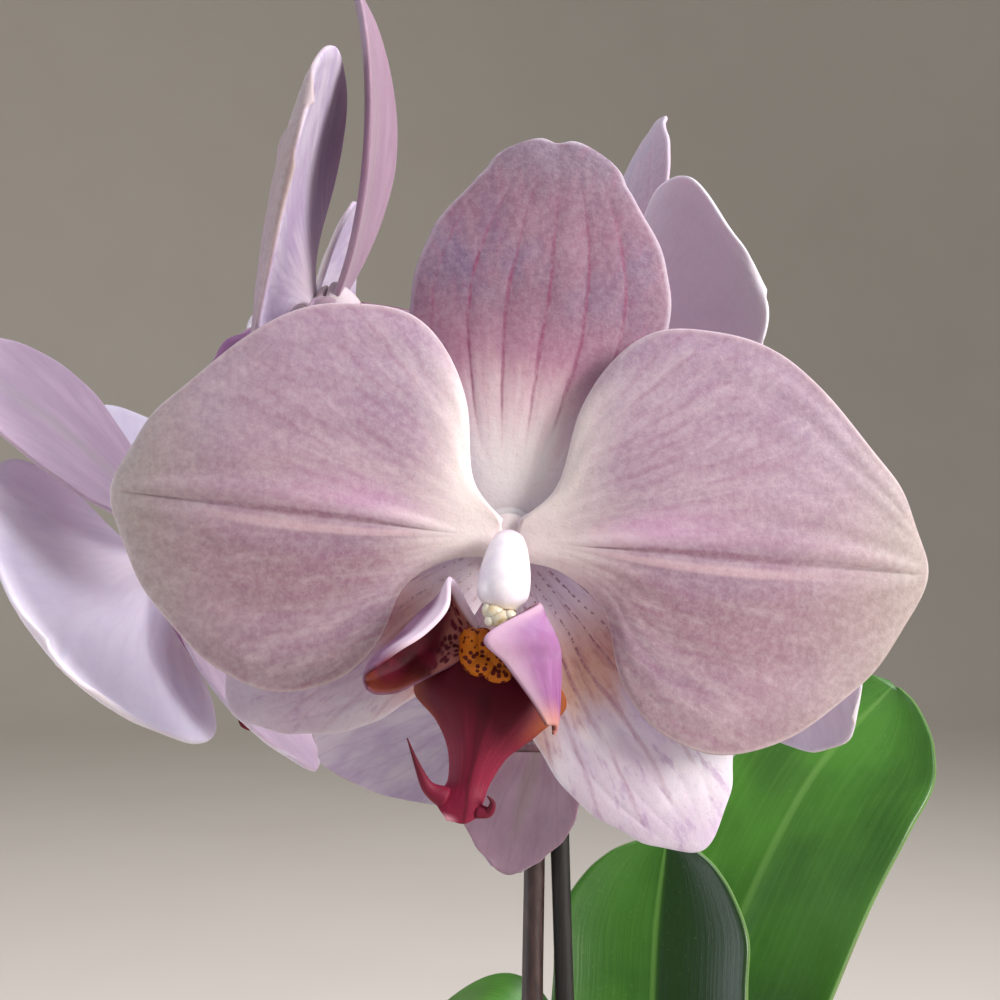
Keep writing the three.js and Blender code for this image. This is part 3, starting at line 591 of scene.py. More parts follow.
# %% Petals
def petal_material():
    paint = Paint("petal_flesh")
    reach, cross, edge, fan, radius, back = paint.marks("reach", "cross", "edge", "fan", "radius", "back")
    soft, streak = fanned_noise(paint, fan, radius, 7.0, 20.0, 1.0)
    grain = paint.noise(paint.spot(), 1.7, 3.0, 0.7)
    broad = paint.noise(paint.spot(), 0.09, 2.0)
    veins = vein_lines(paint, fan, radius, 15.0, 0.25, 0.7) * streak.rise(0.38, 0.6)
    tip = (reach + soft * 0.24 - 0.12).rise(0.6, 0.98)
    # Painted light on the petal's fold: a lighter lilac band is painted highlight along the ridge above the crease, a
    # darker band below it is painted shadow, a thin dark line is painted shade in the crease itself, and a thin pale
    # line beside it is painted highlight on the crease's lip.
    ridge_highlight = (cross - 0.15).size().rise(0.14, 0.03) * reach.rise(0.1, 0.22) * reach.rise(0.62, 0.3)
    shade = (cross + 0.12).size().rise(0.14, 0.03) * reach.rise(0.16, 0.3) * reach.rise(0.8, 0.45)
    white = (radius - cross.rise(0.45, 1.0) * 7.0 + soft * 5.0 - 2.5).rise(13.0, 2.5)
    wander = (cross - 0.02 + (soft - 0.5) * 0.02).size()
    line = wander.rise(0.035, 0.008) * reach.rise(0.13, 0.24) * reach.rise(0.85, 0.5)
    crease_highlight = (cross + 0.055).size().rise(0.035, 0.01) * reach.rise(0.15, 0.26) * reach.rise(0.8, 0.5)
    face = paint.layers(
        paint.mix(broad.rise(0.3, 0.7), "#a2869a", "#b294a4"),
        (cross.rise(0.1, 0.85) * 0.5, "#a58fac"),
        # Painted shade: the petal is darker in a broad band below the crease.
        (cross.rise(-0.03, -0.2) * cross.rise(-0.75, -0.4) * 0.8, "#957380"),
        (cross.rise(-0.6, -1.0) * 0.75, "#8f757e"),
        (soft.rise(0.44, 0.68) * 0.3, "#a07d96"),
        (soft.rise(0.52, 0.3) * 0.34, "#c6b2bd"),
        (streak.rise(0.48, 0.74) * 0.24, "#966c88"),
        (streak.rise(0.5, 0.28) * 0.24, "#cfbcc6"),
        (veins * reach.rise(0.12, 0.3) * reach.rise(0.9, 0.4) * 0.3, "#925a7d"),
        (tip * 0.8, "#a99e97"),
        # Painted highlight on the ridge above the crease, and painted shadow in the band below it.
        (ridge_highlight * 0.6, "#cf9fc6"),
        (shade * 0.40, "#8f7289"),
        (white * 0.92, "#e8dcda"),
        # Painted shade in the crease, and painted highlight on its lip.
        (line * 0.60, "#7c475f"),
        (crease_highlight * 0.45, "#e6c3cb"),
        (grain.rise(0.35, 0.7) * 0.16, "#e9dbe2"),
        (grain.rise(0.45, 0.25) * 0.14, "#8a6079"),
        (edge.rise(0.5, 0.08) * 0.4, "#cdbfc1"),
    )
    behind = paint.layers(
        paint.mix(soft.rise(0.35, 0.65), "#b9acd2", "#d6cfe6"),
        (vein_lines(paint, fan, radius, 12.0, 0.2, 0.6) * 0.2, "#9a80b2"),
        (radius.rise(11.0, 3.0) * 0.7, "#ddd3dd"),
    )
    return flesh(paint, painted_bloom_light(paint, paint.mix(back * 0.92, face, behind), 0.7, 0.5))


petal_flesh = petal_material()
print("Nodes in the petal material:", len(petal_flesh.node_tree.nodes))


# %% [markdown]
# The upper sepal carries a few long crimson veins on mauve and turns slate blue towards its tip. The two lower sepals
# are lilac white with an orange blush in the middle, and their veins break into crimson dots near the base.

# %% Sepals
def sepal_material():
    paint = Paint("sepal_flesh")
    reach, cross, edge, fan = paint.marks("reach", "cross", "edge", "fan")
    radius, back, low = paint.marks("radius", "back", "low")
    soft, streak = fanned_noise(paint, fan, radius, 8.0, 24.0, 2.0)
    spot = paint.spot()
    grain = paint.noise(spot, 1.7, 3.0, 0.7)
    broad = paint.noise(spot, 0.13, 2.0)
    bend = paint.noise(paint.vector(reach * 4.0, cross * 2.0, 7.0), 1.0, 3.0) - 0.5
    lines = (cross + bend * 0.10) * 3.4 + 0.70
    crimson = ((lines.fraction() - 0.5).size() * 2.0).rise(0.19, 0.03) * cross.size().rise(0.9, 0.75)
    crimson = crimson * (reach + soft * 0.2 - 0.1).rise(0.2, 0.36) * (reach + soft * 0.3 - 0.15).rise(0.92, 0.6)
    upper = paint.layers(
        paint.mix(reach.rise(0.3, 0.6), "#b5809a", "#866179"),
        (broad.rise(0.42, 0.66) * reach.rise(0.45, 0.7) * 0.7, "#72678c"),
        (reach.rise(0.72, 0.98) * 0.75, "#756678"),
        (soft.rise(0.52, 0.3) * 0.28, "#bd9aa9"),
        (streak.rise(0.48, 0.74) * 0.28, "#a4607f"),
        ((reach + soft * 0.2 - 0.1).rise(0.46, 0.12) * 0.94, "#fbf4f5"),
        (crimson * (0.3 + streak.rise(0.3, 0.6) * 0.7) * 0.72, "#862f5e"),
    )
    blush = reach.rise(0.16, 0.38) * (reach + soft * 0.24 - 0.12).rise(0.56, 0.38)
    dots = vein_lines(paint, fan, radius, 9.0, 0.16, 0.26) * paint.noise(spot, 2.6, 2.0).rise(0.47, 0.56)
    lower = paint.layers(
        paint.mix(broad.rise(0.35, 0.65), "#d6c8dc", "#ece6f0"),
        (soft.rise(0.48, 0.62) * 0.35, "#bba2c8"),
        (streak.rise(0.53, 0.66) * 0.5, "#a884b8"),
        (blush * 0.85, "#d09a80"),
        (blush * streak.rise(0.45, 0.65) * 0.5, "#b57a79"),
        (reach.rise(0.24, 0.1) * 0.6, "#b99eaa"),
        (reach.rise(0.7, 1.0) * 0.4, "#b8a2c6"),
        (dots * reach.rise(0.08, 0.14) * reach.rise(0.5, 0.3) * 0.75, "#6f2a3f"),
    )
    veins = vein_lines(paint, fan, radius, 9.0, 0.1, 0.6) * streak.rise(0.3, 0.55)
    face = paint.layers(
        # A part share of low, as on the left lower sepal, brings in the darker upper colouring as painted shade.
        paint.mix(low, upper, lower),
        (veins * low * 0.4 * reach.rise(0.25, 0.4) * reach.rise(0.95, 0.6), "#945577"),
        (grain.rise(0.35, 0.7) * 0.12, "#e6d8e0"),
        (grain.rise(0.45, 0.25) * 0.14, "#8a6079"),
        (edge.rise(0.6, 0.08) * 0.45, "#d0c8d6"),
    )
    behind = paint.layers(
        paint.mix(soft.rise(0.3, 0.7), "#a27f9c", "#bd9db6"),
        (veins * 0.3, "#966596"),
        (cross.size().rise(0.2, 0.0) * reach.rise(1.0, 0.6) * 0.3, "#8f9a72"),
    )
    return flesh(paint, painted_bloom_light(paint, paint.mix(back * 0.92, face, behind), 0.25, 1.0))


sepal_flesh = sepal_material()
print("Nodes in the sepal material:", len(sepal_flesh.node_tree.nodes))


# %% [markdown]
# The lip is waxy and dark. The middle lobe goes from near black crimson to bright crimson at its tip, with orange
# shoulders. The side lobes are lilac outside. Inside they are dark crimson, and pinkish between dark blotches where
# they rise from the orange, dotted callus.

# %% Lip
def lip_material():
    paint = Paint("lip_flesh")
    reach, cross, kind, back = paint.marks("reach", "cross", "kind", "back")
    spot = paint.spot()
    cloud = paint.noise(spot, 0.45, 3.0)
    fine = paint.noise(spot, 1.8, 3.0)
    streak = paint.noise(paint.vector(reach * 3.0, cross * 7.0, 5.0), 1.0, 3.0, 0.6)
    shoulder = (cross.rise(0.5, 1.0) + cross.rise(-0.7, -1.0) * 0.5) * reach.rise(0.52, 0.34)
    middle = paint.layers(
        paint.mix(reach.rise(0.25, 0.7), "#5a0a20", "#781634"),
        (streak.rise(0.45, 0.7) * reach.rise(0.2, 0.6) * 0.5, "#93223f"),
        ((cross + 0.02).size().rise(0.14, 0.02) * reach.rise(0.06, 0.25) * 0.55, "#3e0614"),
        (shoulder * 0.95, "#86431b"),
        (cross.rise(-0.2, -0.9) * reach.rise(0.93, 1.0) * 0.8, "#dda0b0"),
    )
    pale = paint.cells(paint.vector(reach * 15.0, cross * 6.0), 1.0).rise(0.3, 0.62)
    rim = (cross + reach.rise(0.75, 1.0) * -1.4).rise(-0.45, -1.0) * reach.rise(0.2, 0.6)
    inside = paint.layers(
        paint.mix(cloud.rise(0.4, 0.7), "#480919", "#6a122b"),
        (pale * (reach + cloud * 0.2).rise(0.48, 0.3) * 0.8, "#b9776c"),
        (rim * 0.75, "#602716"),
    )
    left = paint.layers(
        paint.mix(back, paint.mix(cloud.rise(0.3, 0.7), "#744c69", "#916b86"), inside),
        (cross.rise(0.66, 0.86) * reach.rise(0.95, 0.7), "#e0cbdc"),
    )
    right = paint.layers(
        paint.mix(reach.rise(0.35, 0.9), "#a27aa2", "#824a7b"),
        (streak.rise(0.4, 0.66) * 0.6, "#a0689c"),
        (cloud.rise(0.42, 0.62) * 0.45, "#8b5484"),
        (cross.rise(0.55, 0.95) * 0.6, "#cdb0c0"),
        (cross.rise(-0.6, -0.95) * 0.4, "#c9a0b2"),
        (reach.rise(0.82, 1.0) * 0.7, "#c58a72"),
    )
    tendril = paint.mix(reach.rise(0.2, 0.9), "#741833", "#511022")
    dots = paint.cells(spot, 1.9).rise(0.46, 0.36)
    callus = paint.mix(dots, paint.mix(cloud, "#bd5c12", "#d27c1a"), "#5c1410")
    colour = middle
    for number, part in enumerate((left, paint.mix(back, inside, right), tendril, "#d8c0cc", callus), 1):
        colour = paint.mix((kind - number).size().rise(0.5, 0.4), colour, part)
    normal = paint.bump(fine, 0.08, 0.4, paint.bump(paint.cells(spot, 5.0), 0.03, 0.3))
    return paint.done(colour, 0.5 + cloud * 0.2, normal, Subsurface_Weight=0.10, Subsurface_Radius=(2.0, 0.6, 0.6),
                      Subsurface_Scale=MM * 0.5, Specular_IOR_Level=0.22)


lip_flesh = lip_material()
print("Nodes in the lip material:", len(lip_flesh.node_tree.nodes))


# %% Column
def column_material():
    paint = Paint("column_flesh")
    kind, reach = paint.marks("kind", "reach")
    spot = paint.spot()
    soft = paint.noise(spot, 0.7, 3.0)
    white = paint.layers(
        paint.mix(soft.rise(0.3, 0.7), "#f3eef3", "#e6dcea"),
        (reach.rise(0.82, 1.0) * 0.6, "#e8d8bd"),
        (reach.rise(0.2, 0.0) * 0.6, "#dcc3d6"),
    )
    pollen = paint.mix(soft.rise(0.35, 0.65), "#f8efdc", "#e3bd80")
    normal = paint.bump(paint.noise(spot, 3.0, 2.0), 0.05, 0.4)
    return paint.done(paint.mix(kind.rise(1.4, 1.6), white, pollen), 0.34, normal, Subsurface_Weight=0.35,
                      Subsurface_Radius=(2.0, 1.6, 1.6), Subsurface_Scale=MM * 0.8, Coat_Weight=0.2,
                      Coat_Roughness=0.25)


column_flesh = column_material()


# %% [markdown]
# Now each bloom is put together. Four pieces stand for its four CAD nodes: sepals, petals, lip and column. Every point
# of them also carries the bloom's tone, so that one material serves blooms painted lit and blooms painted in shade.

# %% Build the blooms
LATERAL_HOOD = -3.2


def build_bloom(name, bloom):
    detail = name == "front"
    size = (104, 84) if detail else (52, 40)

    def sepal(spec, hood, **more):
        return tepal(SEPAL_OUTLINE, spec, lambda u, s: sepal_depth(u, s, hood), sepal_relief, *size, **more)

    sepals = [sepal({**DORSAL, "angle": DORSAL["angle"] + bloom["lean"]}, bloom["hood"], notch=0.6)]
    for k, spec in enumerate(LATERALS):
        sepals.append(sepal({**spec, "angle": spec["angle"] - k * bloom["lift"]}, LATERAL_HOOD))
    petals = [tepal(PETAL_OUTLINE, spec, petal_depth, petal_relief, *size) for spec in PETALS]
    parts = {"sepals": (together(sepals + [seat(SEPAL_SEAT)]), sepal_flesh, "sepal"),
             "petals": (together(petals + [seat(PETAL_SEAT)]), petal_flesh, "petal"),
             "lip": (lip(detail), lip_flesh, "lip"), "column": (column(), column_flesh, "column")}
    for part, (made, material, slot) in parts.items():
        node = f"bloom_{name}_{part}"
        made["marks"]["tone"] = np.full(len(made["points"]), float(bloom["tone"]))
        piece(f"fine_{node}", placed(made, bloom["matrix"]), material, slot, node)


for name, bloom in BLOOMS.items():
    build_bloom(name, bloom)


# %% [markdown]
# The flower spike is a dark, purple-brown stem. It rises beside a thin black stake, leans over behind the blooms and
# sends a stalk to the back of each. A small clip holds it to the stake.

# %% Spike, stalks and stake
SPIKE_PATH = [[2, 2, 90], [-2.4, -2.6, 99], [-3.7, -4.4, 118], [-3.9, -3.4, 140], [-3.6, -3, 167],
              [-4, -9, 180], [-7, -20, 194], [-10, -29, 207]]
SPIKE_RADII = [1.45, 1.45, 1.45, 1.35, 1.3, 1.25, 1.15, 1.0]
STALK_RADII = [0.9, 0.9, 0.9, 1.25]
STALKS = {
    "front": (1.0, [-16.9, -33.8, 203.5], 7), "left": (0.939, [-26.2, -28.5, 201.4], 7),
    "upper_left": (0.903, [-14.5, -32.2, 215.1], 7), "upper_right": (0.83, [8.1, -19.5, 204.7], 3),
    "right": (0.764, [4.9, -11.4, 193.6], 3.5), "lower": (0.87, [-13.6, -26.4, 178.9], 3.5),
}
STAKE_FOOT = np.array([3.8, -8.5, 12])
STAKE_HEAD = np.array([-1.2, -1.6, 186])
STAKE_RADIUS = 1.2
CLIP = {"height": 4, "wall": 1, "z": 166.5, "room": 0.35, "ease": 0.22}
GAP = 0.3
JOINTS = (0.2, 0.42, 0.6, 0.74, 0.86)


def stem_bumps(share, angle):
    joint = 0.18 * sum(math.exp(-((share - at) / 0.008) ** 2) for at in JOINTS)
    return joint + 0.03 * np.sin(3 * angle + 40 * share)


def stalk(name):
    share, swing, straight = STALKS[name]
    before, end = (BLOOMS[name]["matrix"] @ Vector((0, y - SEAT_BACK, 0)) for y in (straight, GAP))
    return rod([spline(SPIKE_PATH, [share])[0], swing, before, end], STALK_RADII, 40, 14, kind=1.0)


def stem_material():
    paint = Paint("spike_skin")
    reach, kind = paint.marks("reach", "kind")
    spot = paint.spot((1, 1, 0.25))
    mottle = paint.noise(spot, 1.1, 4.0, 0.6)
    stem = paint.mix(mottle.rise(0.35, 0.7), "#2a1a1c", "#45302c")
    stem = paint.mix(reach.rise(0.2, 0.0) * 0.5, stem, "#4c5a2c")
    bright = paint.mix(mottle.rise(0.3, 0.7), "#5a3044", "#7c4a63")
    colour = paint.mix(kind * reach.rise(0.2, 1.0), stem, bright)
    normal = paint.bump(paint.noise(spot, 4.0, 3.0), 0.08, 0.5)
    return paint.done(colour, 0.38 + mottle * 0.2, normal, Coat_Weight=0.1, Coat_Roughness=0.35)


spike_skin = stem_material()
spike = together([rod(SPIKE_PATH, SPIKE_RADII, 240, 20, stem_bumps, kind=0.0)] + [stalk(name) for name in STALKS])
piece("fine_flower_spike", spike, spike_skin, "spike", "flower_spike")


# %% Stake and clip
def stake_material():
    paint = Paint("stake_stain")
    grain = paint.noise(paint.spot((2, 2, 0.12)), 1.6, 4.0, 0.65)
    colour = paint.mix(grain.rise(0.4, 0.75), "#100e0c", "#221c18")
    return paint.done(colour, 0.42 + grain * 0.25, paint.bump(grain, 0.10, 0.6))


def clip_material():
    paint = Paint("clip_plastic")
    grain = paint.noise(paint.spot(), 5.0, 3.0)
    colour = paint.mix(grain, "#233a2c", "#2f4a38")
    return paint.done(colour, 0.42 + grain * 0.12, paint.bump(grain, 0.03, 0.4), Coat_Weight=0.1)


def rounded_band(first, second, inner):
    """A band round two upright rods, with its four edges eased."""
    heading = math.atan2(first[1] - second[1], first[0] - second[0])
    outer, ease = inner + CLIP["wall"], CLIP["ease"]
    low, high = CLIP["z"] - CLIP["height"] / 2, CLIP["z"] + CLIP["height"] / 2
    section = [(inner + ease, low), (outer - ease, low), (outer, low + ease), (outer, high - ease),
               (outer - ease, high), (inner + ease, high), (inner, high - ease), (inner, low + ease)]
    turns = np.linspace(-math.pi / 2, math.pi / 2, 25)
    around = [(first, heading + t) for t in turns] + [(second, heading + math.pi + t) for t in turns]
    points = [[at[0] + r * math.cos(a), at[1] + r * math.sin(a), z] for at, a in around for r, z in section]
    n, m = len(around), len(section)
    faces = [(i * m + k, ((i + 1) % n) * m + k, ((i + 1) % n) * m + (k + 1) % m, i * m + (k + 1) % m)
             for i in range(n) for k in range(m)]
    return shape(points, faces)


stake = rod([STAKE_FOOT, STAKE_HEAD], [STAKE_RADIUS, STAKE_RADIUS], 120, 24,
            lambda share, angle: 0.02 * np.sin(2 * angle + 30 * share))
piece("fine_stake", stake, stake_material(), "stake", "stake")
share = (CLIP["z"] - STAKE_FOOT[2]) / (STAKE_HEAD[2] - STAKE_FOOT[2])
stake_at = STAKE_FOOT + (STAKE_HEAD - STAKE_FOOT) * share
spike_line = spline(SPIKE_PATH, np.linspace(0, 1, 400))
spike_at = spike_line[np.abs(spike_line[:, 2] - CLIP["z"]).argmin()]
band = rounded_band(stake_at, spike_at, SPIKE_RADII[0] + CLIP["room"])
piece("fine_clip", band, clip_material(), "clip", "clip")


# %% [markdown]
# A moth orchid's leaves are thick straps with a sunken middle rib and no side veins to speak of. Each follows a curve
# for its rib. Its upper face looks a given way, and it cups about the rib, most of all where it clasps the crown. A
# leaf whose dim is 1 gets painted shade, as if in the shade of the blooms, and one half of it, past the rib, gets
# darker painted shade still.

# %% Leaves
LEAVES = [
    {"rib": [[5.9, 9.0, 88], [13.5, 17.3, 108], [24.8, 28, 135], [39, 37, 159], [54, 43, 173.8]],
     "half": 19.2, "end": [0.87, 0.42], "dim": 0, "cup": 0.5, "face": [-0.5, -0.8, 0.35]},
    {"rib": [[5.5, 8.8, 101], [10.4, 12.8, 114], [12.9, 16.5, 128], [14.2, 21, 142], [16.2, 25, 154]],
     "half": 14.2, "end": [0.76, 0.38], "dim": 1, "cup": 0.6, "face": [-0.25, -0.95, 0.15]},
    {"rib": [[-2.6, 6.0, 93], [-6, 7.8, 110], [-7.4, 9.6, 125], [-11.5, 13, 132.6], [-20.5, 17, 127],
             [-31, 21, 114.5], [-42, 25, 99]],
     "half": 12.5, "end": [0.72, 0.26], "dim": 0, "cup": 0.4, "face": [0.25, -0.05, 1]},
    {"rib": [[-1.7, 2.9, 84], [-15, -3, 99], [-33, -10, 107], [-55, -19, 101], [-74, -27, 83]],
     "half": 16, "end": [0.72, 0.26], "dim": 0, "cup": 0.4, "face": [0.1, 0, 1]},
    {"rib": [[7.6, 2.4, 82], [20, -4, 97], [37, -13, 104], [56, -22, 98], [71, -30, 81]],
     "half": 15, "end": [0.72, 0.26], "dim": 0, "cup": 0.4, "face": [-0.1, 0, 1]},
]
LEAF_PROFILE = [0.28, 0.57, 0.8, 0.94, 1.0, 1.0, 0.99]
LEAF_CLASP = 0.9
LEAF_THICKNESS = 1.3
LEAF_ROWS, LEAF_COLUMNS = 110, 56
TIP_START = 0.93


def leaf(spec):
    u = np.linspace(0, 1, LEAF_ROWS)
    s = (np.sin(np.linspace(-0.5, 0.5, LEAF_COLUMNS) * math.pi * 0.94) / math.sin(0.47 * math.pi))[None, :]
    line = spline(spec["rib"], u)
    tangent = unit(np.gradient(line, axis=0))
    facing = np.array(spec["face"], float)
    normal = unit(facing - tangent * (tangent @ facing)[:, None])
    side = np.cross(normal, tangent)
    width = spline(np.array(LEAF_PROFILE + spec["end"])[:, None], u, held=True) * spec["half"]
    u = u[:, None]
    tip = np.sqrt(np.clip(1 - ((u - TIP_START) / (1 - TIP_START)) ** 2, 0.02, 1))
    bend = spec["cup"] + (LEAF_CLASP - spec["cup"]) * (1 - u) ** 6
    radius = width * np.where(u > TIP_START, tip, 1) / bend
    crease = 0.9 * np.exp(-((s / 0.1) ** 2)) * (1 - u)
    sway = 0.25 * np.sin(9 * u + 2 * s) * s ** 2
    lift = radius * (1 - np.cos(s * bend)) - crease + sway
    grid = line[:, None] + side[:, None] * (radius * np.sin(s * bend))[..., None] + normal[:, None] * lift[..., None]
    return sheet(grid, LEAF_THICKNESS, 0.5, reach=u, cross=s, dim=float(spec["dim"]))


def leaf_material():
    paint = Paint("leaf_skin")
    reach, cross, back, dim = paint.marks("reach", "cross", "back", "dim")
    spot = paint.spot()
    cloud = paint.noise(spot, 0.06, 3.0)
    streak = paint.noise(paint.vector(reach * 3.0, cross * 26.0, 1.0), 1.0, 3.0, 0.6)
    fleck = paint.noise(spot, 1.6, 4.0, 0.7)
    upper = paint.layers(
        paint.mix(cloud.rise(0.3, 0.7), "#2f5f16", "#437c22"),
        (streak.rise(0.4, 0.7) * 0.16, "#62943c"),
        # Painted shade: a dim leaf is darker all over, and its half past the rib is darker still.
        (dim * 0.4, "#1f4a12"),
        (dim * cross.rise(0.02, -0.1) * 0.85, "#14320d"),
        (cross.size().rise(0.05, 0.01) * 0.45, "#6d9a48"),
        (cross.size().rise(0.97, 1.0) * 0.4, "#33541c"),
        (fleck.rise(0.62, 0.75) * 0.2, "#8fae62"),
    )
    under = paint.layers(paint.mix(streak, "#5a7d43", "#7c9a5c"), (cloud.rise(0.5, 0.8) * 0.35, "#7b5a5e"))
    normal = paint.bump(streak, 0.10, 0.5, paint.bump(fleck, 0.05, 0.5))
    return paint.done(paint.mix(back, upper, under), 0.30 + fleck * 0.14, normal, Coat_Weight=0.12,
                      Coat_Roughness=0.3, Specular_IOR_Level=0.4, Subsurface_Weight=0.05,
                      Subsurface_Radius=(1.0, 2.0, 0.4), Subsurface_Scale=MM)


leaf_skin = leaf_material()
for k, spec in enumerate(LEAVES, 1):
    piece(f"fine_leaf_{k}", leaf(spec), leaf_skin, "leaf", f"leaf_{k}")


# %% [markdown]
# The crown is the plant's short stem, ringed by the scars of old leaves. Aerial roots leave it and wander over the
# bark. Dry, they are silver, because their skin is a layer of empty cells, and their growing tips are green.

# %% Crown and roots
CROWN = {"x": 3, "y": 5, "radius": 4.4, "heights": [52, 70, 88, 99, 110], "shares": [1, 1, 0.95, 0.72, 0.35]}
ROOTS = [
    [[0.3, -0.7, 78], [-8, -11, 84], [-17, -19, 84], [-23, -22, 76], [-25, -23, 64]],
    [[6.9, 9.1, 78], [17, 17, 86], [31, 26, 94], [43, 33, 88], [49, 37, 72], [50, 38, 60]],
    [[5.7, -0.3, 78], [12, -12, 84], [16, -22, 84], [18, -28, 76], [19, -30, 64]],
]
ROOT_RADII = [2.1, 2.1, 2.1, 1.9, 1.5]


def root_bumps(share, angle):
    tip = np.clip((share - 0.96) / 0.04, 0, 1)
    rounding = 1.3 * (1 - np.sqrt(1 - tip ** 2 * 0.99))
    return 0.08 * np.sin(23 * share + np.cos(angle)) + 0.05 * np.sin(3 * angle + 11 * share) - 0.06 - rounding


def crown_material():
    paint = Paint("crown_skin")
    rings = paint.noise(paint.spot((0.3, 0.3, 2.0)), 1.0, 3.0)
    fleck = paint.noise(paint.spot(), 1.2, 3.0)
    colour = paint.layers(paint.mix(rings.rise(0.35, 0.65), "#4b6428", "#76893f"),
                          (fleck.rise(0.6, 0.75) * 0.6, "#6d4a2a"))
    return paint.done(colour, 0.5 + fleck * 0.2, paint.bump(rings, 0.35, 0.6))


def root_material():
    paint = Paint("root_velvet")
    reach, = paint.marks("reach")
    spot = paint.spot()
    felt = paint.noise(spot, 3.0, 4.0, 0.65)
    patch = paint.noise(spot, 0.35, 3.0)
    colour = paint.layers(
        paint.mix(felt.rise(0.3, 0.7), "#9aa596", "#c6ccbc"),
        (patch.rise(0.5, 0.7) * 0.7, "#7f9160"),
        (patch.rise(0.42, 0.3) * 0.4, "#a08c6c"),
        (reach.rise(0.9, 0.97) * 0.8, "#7f9a3f"),
    )
    return paint.done(colour, 0.72 + felt * 0.2, paint.bump(felt, 0.10, 0.7), Sheen_Weight=0.3)


crown_path = [[CROWN["x"], CROWN["y"], z] for z in CROWN["heights"]]
crown_radii = [CROWN["radius"] * share for share in CROWN["shares"]]
crown = rod(crown_path, crown_radii, 90, 40, lambda share, angle: -0.12 + 0.1 * np.sin(70 * share + np.sin(angle)))
piece("fine_crown", crown, crown_material(), "crown", "crown")
root_velvet = root_material()
for k, path in enumerate(ROOTS, 1):
    piece(f"fine_root_{k}", rod(path, ROOT_RADII, 90, 24, root_bumps), root_velvet, "root", f"root_{k}")


# %% [markdown]
# The pot is out of the photograph, so it is the plainest that suits: a tapered, glazed cup. Its wall is a profile
# turned about the middle. The bark inside is a heap of flat chips, each a box worn round and uneven by waves.

# %% Pot
POT = {"height": 84, "rim": 46, "foot": 33, "wall": 4, "floor": 5}


def pot_wall(z):
    return POT["foot"] + (POT["rim"] - POT["foot"]) * z / POT["height"]


def pot_profile():
    """The pot's outside from the foot up, over a rounded lip and down inside to its floor."""
    foot, rim, wall, floor, tall = (POT[k] for k in ("foot", "rim", "wall", "floor", "height"))
    ease = 1.8
    edge = foot - ease - 0.4
    base = [(0.5, 0.0), (edge, 0.0)]
    base += [(edge + ease * math.sin(a), ease - ease * math.cos(a)) for a in np.linspace(0.2, 1.4, 6)]
    outside = [(pot_wall(z) - 0.12, z) for z in np.linspace(3, tall - 3, 30)]
    middle, half = rim - wall / 2 - 0.7, wall / 2 - 0.1
    brim = [(middle + half * math.cos(a), tall - half + half * math.sin(a))
            for a in np.linspace(0.05, math.pi - 0.05, 14)]
    inside = [(pot_wall(z) - wall + 0.1, z) for z in np.linspace(tall - 4, floor + 1, 24)]
    return base + outside + brim + inside + [(foot - wall - 1, floor + 0.1), (0.5, floor)]


def pot_material():
    paint = Paint("pot_glaze")
    spot = paint.spot()
    cloud = paint.noise(spot, 0.05, 3.0)
    speck = paint.cells(spot, 0.28)
    throwing = paint.noise(paint.spot((0.02, 0.02, 1.0)), 0.5, 2.0)
    colour = paint.mix(cloud.rise(0.3, 0.7), "#c9c2b5", "#d6d0c5")
    colour = paint.mix(speck.rise(0.10, 0.05) * 0.5, colour, "#b39b7c")
    normal = paint.bump(throwing, 0.25, 0.35, paint.bump(cloud, 0.4, 0.3))
    return paint.done(colour, 0.16 + cloud * 0.12, normal, Coat_Weight=0.5, Coat_Roughness=0.08)


piece("fine_pot", turned(pot_profile(), 128), pot_material(), "pot", "pot")


# %% Bark
BARK = {"top": 74, "chips": 190, "length": 15, "width": 9, "height": 4.5}
CHIP_CUTS = (9, 7, 4)
CHIP_ROUNDING = [0.78, 0.78, 0.62]
GOLDEN_ANGLE = 2.39996
CROWN_ROOM, ROOT_ROOM = 9.5, 5.5
STAKE_IN_BARK = (1.9, -6)


def chip(length, width, height, draw):
    """One chip: a box cut in small squares, its corners and faces worn by a sum of waves."""
    shares = [np.linspace(-1, 1, n) for n in CHIP_CUTS]
    index, faces = {}, []
    for axis in range(3):
        a, b = (axis + 1) % 3, (axis + 2) % 3
        for end in (0, CHIP_CUTS[axis] - 1):
            for i in range(CHIP_CUTS[a] - 1):
                for j in range(CHIP_CUTS[b] - 1):
                    loop = []
                    for di, dj in ((0, 0), (1, 0), (1, 1), (0, 1)):
                        key = [0, 0, 0]
                        key[axis], key[a], key[b] = end, i + di, j + dj
                        loop.append(index.setdefault(tuple(key), len(index)))
                    faces.append(tuple(loop if end else reversed(loop)))
    p = np.array([[shares[axis][k] for axis, k in enumerate(key)] for key in index])
    p = p / np.maximum(1.0, np.linalg.norm(p * CHIP_ROUNDING, axis=1, keepdims=True))
    p = p * [length / 2, width / 2, height / 2]
    waves = [np.array([draw.uniform(-0.5, 0.5) for _ in range(3)]) for _ in range(4)]
    rough = sum(np.sin(p @ (w * 1.8) + k) for k, w in enumerate(waves))
    p = p * (1 + 0.05 * rough[:, None])
    turn = Euler((draw.uniform(-0.5, 0.5), draw.uniform(-0.5, 0.5), draw.uniform(0, math.pi))).to_matrix()
    return shape(p @ np.array(turn).T, faces, tone=draw.random())


